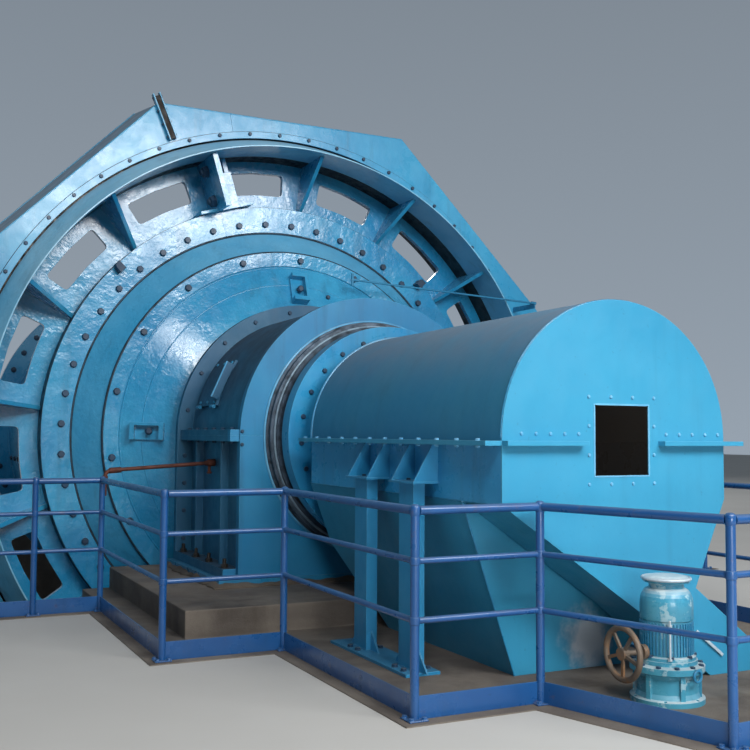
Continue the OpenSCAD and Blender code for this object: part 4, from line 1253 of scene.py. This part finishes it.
@dataclass
class HoodFittings:
    """Bolts, rims and weld beads of the discharge hood, its legs and hoppers."""

    at: Stations
    side_bolts: int = 12
    side_bolt_first: float = 0.14
    side_bolt_step: float = 0.235
    side_bolt_out: float = 0.072
    bar_bolts: tuple[tuple[float, float], ...] = ((-0.70, -0.3), (0.36, 0.78))
    bar_bolt_rise: float = 0.055
    hatch: tuple[float, float] = (0.02, -0.012)
    hatch_size: tuple[float, float] = (0.41, 0.425)
    hatch_bolt_x: tuple[float, float] = (-0.225, 0.265)
    hatch_bolt_z: tuple[float, float] = (-0.27, 0.245)
    hoop_thick: float = 0.012
    strip_start: tuple[float, float] = (0.585, 0.275)
    strip_end: tuple[float, float] = (0.787, 0.120)
    hopper_toe: tuple[float, float] = (0.42, 0.06)
    leg_stations: tuple[float, float] = (0.877, 1.54)
    leg_plate_t: float = 0.02
    shelf_rise: float = 1.182

    def build(self, bench: Bench) -> None:
        """Builds every piece of the hood and gives its nodes their finish."""
        bench.dress(Finish.HOOD, "hood_shell")
        bench.dress(Finish.SHEET, "hood_front_plate", "reject_chute", "hood_flange")
        bench.dress(Finish.HOPPER, "discharge_hopper")
        bench.dress(Finish.HOOD_LOWER, "hood_lower_body", "hood_back_plate")
        bench.dress(Finish.LEGS, "hood_legs_left", "hood_legs_right")
        bench.piece("hood_side_bolts", self.side_row(), Finish.SKY_BOLT)
        bench.piece("hood_front_bolts", self.front_rows(), Finish.SKY_BOLT)
        bench.piece("hood_rims", self.rims(), Finish.SKY_BOLT, smooth=50)
        bench.piece("hood_welds", self.beads(), Finish.DEEP, smooth=WELD_SMOOTH)
        bench.piece("chute_highlight_strip", [self.chute_highlight_strip()], Finish.WHITE)
        bench.piece("leg_bolts", self.leg_bolts(), Finish.BOLT)

    def side_row(self) -> list[Shape]:
        """Bolts along both side flanges, with nuts below."""
        y = self.at.hood_front + self.side_bolt_first + self.side_bolt_step * np.arange(self.side_bolts)
        y = y[y < self.at.hood[1].y - 0.04]
        parts = []
        for side in SIDES:
            for up in (1, -1):
                points = grid(side * (self.at.hood_r + self.side_bolt_out), y, self.at.split + 0.014 * up)
                parts.append(Places.standing(points, [0, 0, up], ACROSS).hold(Fastener.SMALL.shape()))
        return parts

    def front_rows(self) -> list[Shape]:
        """Bolts above the two front bars and round the inspection opening."""
        over = self.at.split + self.bar_bolt_rise
        rows = [(x, over) for ends in self.bar_bolts for x in np.linspace(*ends, 5)]
        foot, head = (AXIS_Z + z for z in self.hatch_bolt_z)
        rows += [(x, z) for z in (foot, head) for x in np.linspace(*self.hatch_bolt_x, 4)]
        rows += [(x, z) for x in self.hatch_bolt_x for z in np.linspace(foot, head, 4)[1:-1]]
        x, z = np.array(rows).T
        small = turned([(0, -0.002), (0.011, -0.002), (0.011, 0.003), (0.008, 0.008), (0, 0.009)], 12)
        return [Places.standing(grid(x, self.at.hood_front, z), TO_FRONT, ACROSS).hold(small)]

    def rims(self) -> list[Shape]:
        """Rolled bar round the hood's back edge and a thin frame round the inspection opening, in a paler
        enamel than the hood: partly painted highlight along these edges.
        """
        low = math.degrees((self.at.split - AXIS_Z) / self.at.hood_r)
        arch = polar(self.at.hood_r - 0.002, np.linspace(low, 180 - low, 90), self.at.hood[1].y - 0.008)
        rolled = sweep(arch, round_section(self.hoop_thick, 10), ALONG)
        (x, z), (width, height) = self.hatch, self.hatch_size
        edge = [(x + sx * width / 2, self.at.hood_front, AXIS_Z + z + sz * height / 2) for sx, sz in TURNS]
        frame = sweep(spaced(edge, 0.02, closed=True), box_outline(0.010, 0.006), ALONG, ring=True)
        return [rolled, frame]

    def beads(self) -> list[Shape]:
        """Weld beads: round the front plate, down the hopper's edges and along the leg feet."""
        arch = polar(self.at.hood_r - 0.001, np.linspace(0, 180, 150), self.at.hood_front + 0.013)
        parts = [weld(arch, 0.006, ALONG)]
        low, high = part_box("discharge_hopper")
        toe_x, toe_in = self.hopper_toe
        for side in SIDES:
            top, toe = (side * self.at.hood_r, low.y, high.z), (side * toe_x, low.y + toe_in, low.z)
            parts.append(weld(spaced([top, toe], 0.018), 0.006, ALONG))
            x = side * (self.at.hood_r + 0.002)
            parts.append(weld(spaced([(x, low.y, high.z), (x, high.y, high.z)], 0.018), 0.005, UP))
        for x, y, foot in self.legs():
            ring = [(x + sx * 0.04, y + sy * 0.095, foot + self.leg_plate_t + 0.001) for sx, sy in TURNS]
            parts.append(weld(spaced(ring, 0.015, closed=True), 0.006, UP, ring=True))
        return parts

    def chute_highlight_strip(self) -> Shape:
        """Pale strip on the bar that runs down the front plate beside the chute's foot: a painted highlight
        along the bar's edge.
        """
        start, end = np.array(self.strip_start), np.array(self.strip_end)
        length = float(np.linalg.norm(end - start))
        along = (end - start) / length
        x, z = (start + end) / 2
        place = np.array([x, self.at.hood_front - 0.010, self.at.floor + z])
        strip = slab(box_outline(length + 0.012, 0.018), -0.009, 0.003, 0.002)
        return Places.standing(place, TO_FRONT, [along[0], 0, along[1]]).hold(strip)

    def legs(self) -> list[tuple[float, float, float]]:
        """Middle and foot of each leg: x, y and z."""
        found = []
        for node in ("hood_legs_left", "hood_legs_right"):
            low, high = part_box(node)
            found += [((low.x + high.x) / 2, self.at.hood_front + y, low.z) for y in self.leg_stations]
        return found

    def leg_bolts(self) -> list[Shape]:
        """Anchor bolts in the legs' base plates and small bolts in the shelves."""
        parts = []
        for x, y, foot in self.legs():
            points = [(x + sx * 0.085, y + sy * 0.06, foot + self.leg_plate_t)
                      for sx in SIDES for sy in SIDES]
            parts.append(Places.standing(points, UP, ACROSS).hold(Fastener.PLATE.shape()))
            inwards = 0.035 if x < 0 else -0.035
            points = [(x + inwards, y + sy * 0.11, foot + self.shelf_rise) for sy in SIDES]
            parts.append(Places.standing(points, UP, ACROSS).hold(Fastener.SMALL.shape()))
        return parts


@dataclass
class PumpFittings:
    """Fins, bolts, conduit, lifting ring and cap trim of the lubrication pump."""

    at: Stations
    fin_count: int = 48
    fin_start: float = 4.5
    fin_size: tuple[float, float, float] = (0.020, 0.007, 0.175)
    foot_bolts: int = 8
    foot_bolt_start: float = 12.0
    rim_bolts: int = 12
    rim_bolt_start: float = 4.0
    conduit_angle: float = -126.0
    conduit_r: float = 0.006
    ring_angle: float = -82.0
    ring_r: float = 0.03

    def build(self, bench: Bench) -> None:
        """Builds every piece of the pump and gives its nodes their finish."""
        bench.dress(Finish.TEAL, "pump_body", "pump_motor")
        bench.dress(Finish.IRON, "pump_valve")
        low, high = self.at.motor
        self.x, self.y = (low.x + high.x) / 2, (low.y + high.y) / 2
        self.base, self.top = low.z, high.z
        self.foot_r = (high.x - low.x) / 2
        self.body_r = (self.at.pump[1].x - self.at.pump[0].x) / 2
        bench.piece("pump_fins", [self.fins()], Finish.DEEP, slot="pump_teal")
        bench.piece("pump_bolts", self.bolts(), Finish.BOLT, slot="pump_teal")
        bench.piece("pump_cap_ring", [self.cap_ring()], Finish.WHITE, slot="pump_teal", smooth=40)
        bench.piece("pump_conduit", self.conduit(), Finish.WHITE, slot="pump_teal")
        bench.piece("pump_lifting_ring", [self.lifting_ring()], Finish.DEEP, slot="pump_teal")

    def beside(self, radius: float, degrees: float | Array, z: float) -> Array:
        """Points round the pump's own axis."""
        turn = np.radians(degrees)
        return grid(self.x + radius * np.cos(turn), self.y + radius * np.sin(turn), z)

    def fins(self) -> Shape:
        """Cooling fins round the motor."""
        width, thick, height = self.fin_size
        foot = self.base + 0.03
        points = self.beside(self.foot_r - 0.020, self.fin_start + around(self.fin_count), foot)
        fin = slab(box_outline(width, thick), 0.0, height, 0.001)
        return Places.standing(points, UP, points - [self.x, self.y, foot]).hold(fin)

    def bolts(self) -> list[Shape]:
        """Bolts on the motor's foot flange and on the pump's top flange."""
        turns = self.foot_bolt_start + around(self.foot_bolts)
        foot = self.beside(self.foot_r - 0.009, turns, self.base + 0.018)
        turns = self.rim_bolt_start + around(self.rim_bolts)
        rim = self.beside(self.body_r - 0.018, turns, self.base - 0.030)
        return [Places.standing(points, UP, ACROSS).hold(Fastener.SMALL.shape()) for points in (foot, rim)]

    def cap_ring(self) -> Shape:
        """Rolled rim of the fan cowl."""
        path = self.beside(self.foot_r - 0.028, around(72), self.top - 0.02)
        return sweep(path, round_section(0.010, 10), UP, ring=True)

    def conduit(self) -> list[Shape]:
        """Cable conduit down the motor's face with its two clips."""
        heights = np.linspace(self.base + 0.012, self.base + 0.23, 8)
        foot = self.beside(self.foot_r + 0.012, self.conduit_angle, 0.0)
        inner = self.beside(self.foot_r - 0.02, self.conduit_angle, 0.0)
        pipe = sweep(foot + grid(0, 0, heights), round_section(self.conduit_r, 8), ALONG)
        clips = [sweep(np.linspace(inner, foot, 4) + [0, 0, z], box_outline(0.022, 0.012), UP)
                 for z in (heights[0] + 0.004, heights[-1] - 0.03)]
        return [pipe, *clips]

    def lifting_ring(self) -> Shape:
        """Ring on the front right of the pump's top flange."""
        turn = np.radians(around(24))[:, None]
        centre = self.beside(self.body_r + 0.004, self.ring_angle, self.base - 0.068)
        ring = centre + self.ring_r * (np.cos(turn) * [0.99, 0.14, 0] + np.sin(turn) * UP)
        return sweep(ring, round_section(0.008, 8), [-0.14, 0.99, 0], ring=True)


@dataclass
class RailFittings:
    """Foot plates with bolts, caps on the posts and collars at the rail's joints."""

    at: Stations
    runs: int = 9
    post_r: float = 0.024
    plate_side: float = 0.11
    plate_t: float = 0.008
    bolt_out: float = 0.038
    mid_rails: tuple[float, float] = (0.506, 0.814)
    post_gap: float = 0.1
    tube_corners: int = 12

    def build(self, bench: Bench) -> None:
        """Gives the rail its finish and builds the plates, bolts, caps and collars of every post."""
        names = [f"rail_run_{k + 1}" for k in range(self.runs)]
        bench.dress(Finish.RAIL, *names)
        x, y = self.posts(names).T
        feet = Places.standing(grid(x, y, self.at.floor), UP, ACROSS)
        plates = feet.hold(slab(box_outline(self.plate_side, self.plate_side), 0.0, self.plate_t, 0.002))
        bolts = []
        for sx in SIDES:
            for sy in SIDES:
                points = feet.points + [sx * self.bolt_out, sy * self.bolt_out, self.plate_t]
                bolts.append(Places.standing(points, UP, ACROSS).hold(Fastener.SMALL.shape()))
        tops = Places.standing(grid(x, y, self.at.rail_top), UP, ACROSS).hold(self.cap())
        joints = [Places.standing(grid(x, y, self.at.floor + height), UP, ACROSS).hold(self.collar())
                  for height in self.mid_rails]
        bench.piece("rail_foot_plates", [plates], Finish.RAIL, slot="rail_blue")
        bench.piece("rail_foot_bolts", bolts, Finish.RAIL, slot="rail_blue")
        bench.piece("rail_joints", [tops, *joints], Finish.RAIL, slot="rail_blue", smooth=50)

    def cap(self) -> Shape:
        """Domed cap with a sleeve over the top of a post."""
        r = self.post_r
        return turned([(0, -0.052), (r, -0.052), (r + 0.003, -0.047), (r + 0.003, -0.006), (r, -0.001),
                       (0.02, 0.005), (0.012, 0.009), (0, 0.010)], 20)

    def collar(self) -> Shape:
        """Swollen collar where a mid rail meets a post."""
        r = self.post_r
        return turned([(r - 0.002, 0.022), (r + 0.004, 0.018), (r + 0.005, 0), (r + 0.004, -0.018),
                       (r - 0.002, -0.022)], 16)

    def posts(self, names: Sequence[str]) -> Array:
        """Centres of the posts: the round groups among the topmost vertices of each run."""
        found: list[Array] = []
        for name in names:
            mesh = bpy.data.objects[name].data
            points = np.zeros(len(mesh.vertices) * 3)
            mesh.vertices.foreach_get("co", points)
            points = points.reshape(-1, 3)
            left = points[points[:, 2] > points[:, 2].max() - 0.0005][:, :2]
            while len(left):
                near = np.linalg.norm(left - left[0], axis=1) < 2.5 * self.post_r
                group, left = left[near], left[~near]
                centre = (group.min(axis=0) + group.max(axis=0)) / 2
                known = any(math.dist(centre, other) <= self.post_gap for other in found)
                if len(group) >= self.tube_corners and not known:
                    found.append(centre)
        return np.array(found)


@dataclass(frozen=True)
class Lamp:
    """Soft rectangular light with its place, target, size in metres, watts and spread in degrees."""

    name: str
    place: tuple[float, float, float]
    target: tuple[float, float, float]
    size: tuple[float, float]
    power: float
    spread: float = 180.0

    def build(self) -> None:
        """Adds the light to the scene, unseen by the camera."""
        data = bpy.data.lights.new(self.name, "AREA")
        data.shape = "RECTANGLE"
        data.size, data.size_y = self.size
        data.energy = self.power
        data.spread = math.radians(self.spread)
        obj = bpy.data.objects.new(self.name, data)
        obj.location = self.place
        ahead = Vector(self.target) - Vector(self.place)
        obj.rotation_euler = ahead.to_track_quat("-Z", "Y").to_euler()
        obj.visible_camera = False
        bpy.context.scene.collection.objects.link(obj)


@dataclass
class Studio:
    """Pale floor with the foundation pit, soft lights and the camera at the photograph's place."""

    at: Stations
    place: tuple[float, float, float] = (-3.961, -8.915, 3.614)
    yaw: float = 26.121
    pitch: float = 3.381
    roll: float = 0.342
    lens: float = 48.45
    sky: tuple[float, float, float, float] = (0.72, 0.85, 1.0, 1.0)
    far: float = 60.0
    pit_x: float = 4.35
    pit_y: tuple[float, float] = (-0.2, 8.6)
    below_edge: float = 0.006
    below_foot: float = 0.003

    def camera(self) -> None:
        """Camera matrix from yaw towards +X, pitch up and roll."""
        yaw, pitch, roll = (math.radians(a) for a in (self.yaw, self.pitch, self.roll))
        ahead = Vector((math.sin(yaw) * math.cos(pitch), math.cos(yaw) * math.cos(pitch), math.sin(pitch)))
        right = Vector((math.cos(yaw), -math.sin(yaw), 0))
        up = right.cross(ahead)
        level = right * math.cos(roll) + up * math.sin(roll)
        over = up * math.cos(roll) - right * math.sin(roll)
        turn = Matrix((level, over, -ahead)).transposed().to_4x4()
        data = bpy.data.cameras.new("camera")
        data.lens = self.lens
        data.sensor_width = 36
        data.clip_end = 200
        camera = bpy.data.objects.new("camera", data)
        camera.matrix_world = Matrix.Translation(self.place) @ turn
        bpy.context.scene.collection.objects.link(camera)
        bpy.context.scene.camera = camera

    def lamps(self) -> list[Lamp]:
        """Key and fill high in front, a weak narrow one low down, one inside the hood and one behind."""
        inlet = self.at.hood_front
        return [
            Lamp("key", (1.5, -11.0, 9.3), (0.0, 0.0, 3.6), (6.6, 2.8), 1080),
            Lamp("fill", (-5.2, -11.0, 12.0), (0.0, -1.0, 3.4), (2.8, 2.2), 500),
            Lamp("low", (-1.8, -10.5, 3.4), (0.0, -3.2, 2.9), (2.4, 1.4), 11, spread=42.0),
            Lamp("hood_inside", (-0.5, inlet + 0.3, 4.0), (0.5, inlet + 1.6, 3.4), (0.3, 0.3), 1.4),
            Lamp("rear", (7.0, 22.0, 13.0), (0.0, 6.0, 3.4), (9.0, 7.0), 2600),
        ]

    def floor(self) -> None:
        """Floor just below the foundation's top, with walls and a bottom round the pit of the gear."""
        level = self.at.floor - self.below_edge
        edge = np.array(TURNS) * self.far
        hole = np.array([(sx * self.pit_x, self.pit_y[sy > 0]) for sx, sy in TURNS])
        middle = np.broadcast_to(hole.mean(axis=0), hole.shape)
        rings = [(edge, level), (hole, level), (hole, -self.below_foot), (middle, -self.below_foot)]
        shape = loft(np.array([grid(points[:, 0], points[:, 1], z) for points, z in rings]))
        mesh = bpy.data.meshes.new("studio_floor")
        mesh.from_pydata(shape.points.tolist(), [], shape.faces.tolist())
        mesh.materials.append(StudioFloor("studio_floor").build())
        floor = bpy.data.objects.new("studio_floor", mesh)
        bpy.context.scene.collection.objects.link(floor)
        floor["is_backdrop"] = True

    def surroundings(self) -> None:
        """World light that falls off from the horizon to a darker top, and towards the mill's left."""
        world = bpy.data.worlds.new("studio")
        world.use_nodes = True
        tree = world.node_tree
        where = tree.nodes.new("ShaderNodeTexCoord")
        split = tree.nodes.new("ShaderNodeSeparateXYZ")
        both = tree.nodes.new("ShaderNodeMath")
        both.operation = "MULTIPLY"
        shade = tree.nodes["Background"]
        shade.inputs["Color"].default_value = self.sky
        tree.links.new(where.outputs["Generated"], split.inputs[0])
        ramps = (("Z", (0.0, 0.8, 0.42, 0.18)), ("X", (-0.9, -0.1, 0.45, 1.0)))
        for slot, (axis, numbers) in enumerate(ramps):
            ramp = tree.nodes.new("ShaderNodeMapRange")
            for name, number in zip(("From Min", "From Max", "To Min", "To Max"), numbers):
                ramp.inputs[name].default_value = number
            tree.links.new(split.outputs[axis], ramp.inputs["Value"])
            tree.links.new(ramp.outputs["Result"], both.inputs[slot])
        tree.links.new(both.outputs[0], shade.inputs["Strength"])
        bpy.context.scene.world = world

    def build(self) -> None:
        """Sets up the camera, the lights, the pale surroundings and the floor."""
        self.camera()
        for lamp in self.lamps():
            lamp.build()
        self.surroundings()
        bpy.context.scene.view_settings.view_transform = "Standard"
        self.floor()


def corners(bounds: Sequence[Vector]) -> list[list[float]]:
    """A box as plain lists of numbers."""
    return [[float(c) for c in corner] for corner in bounds]


def main() -> None:
    logging.basicConfig(level=logging.INFO, format="%(name)s %(message)s")
    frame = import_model()
    cad_box = corners(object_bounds())
    at = Stations()
    bench = Bench(frame["nodes"])
    bench.dress(Finish.CONCRETE, "foundation_block", "feed_pier")
    Studio(at).build()
    for fittings in (DrumFittings(at), GuardFittings(at), BearingFittings(at), HoodFittings(at),
                     PumpFittings(at), RailFittings(at)):
        fittings.build(bench)
        LOG.info("%s done", type(fittings).__name__)
    {"cad": cad_box, "visual": corners(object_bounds())}


if __name__ == "__main__":
    main()
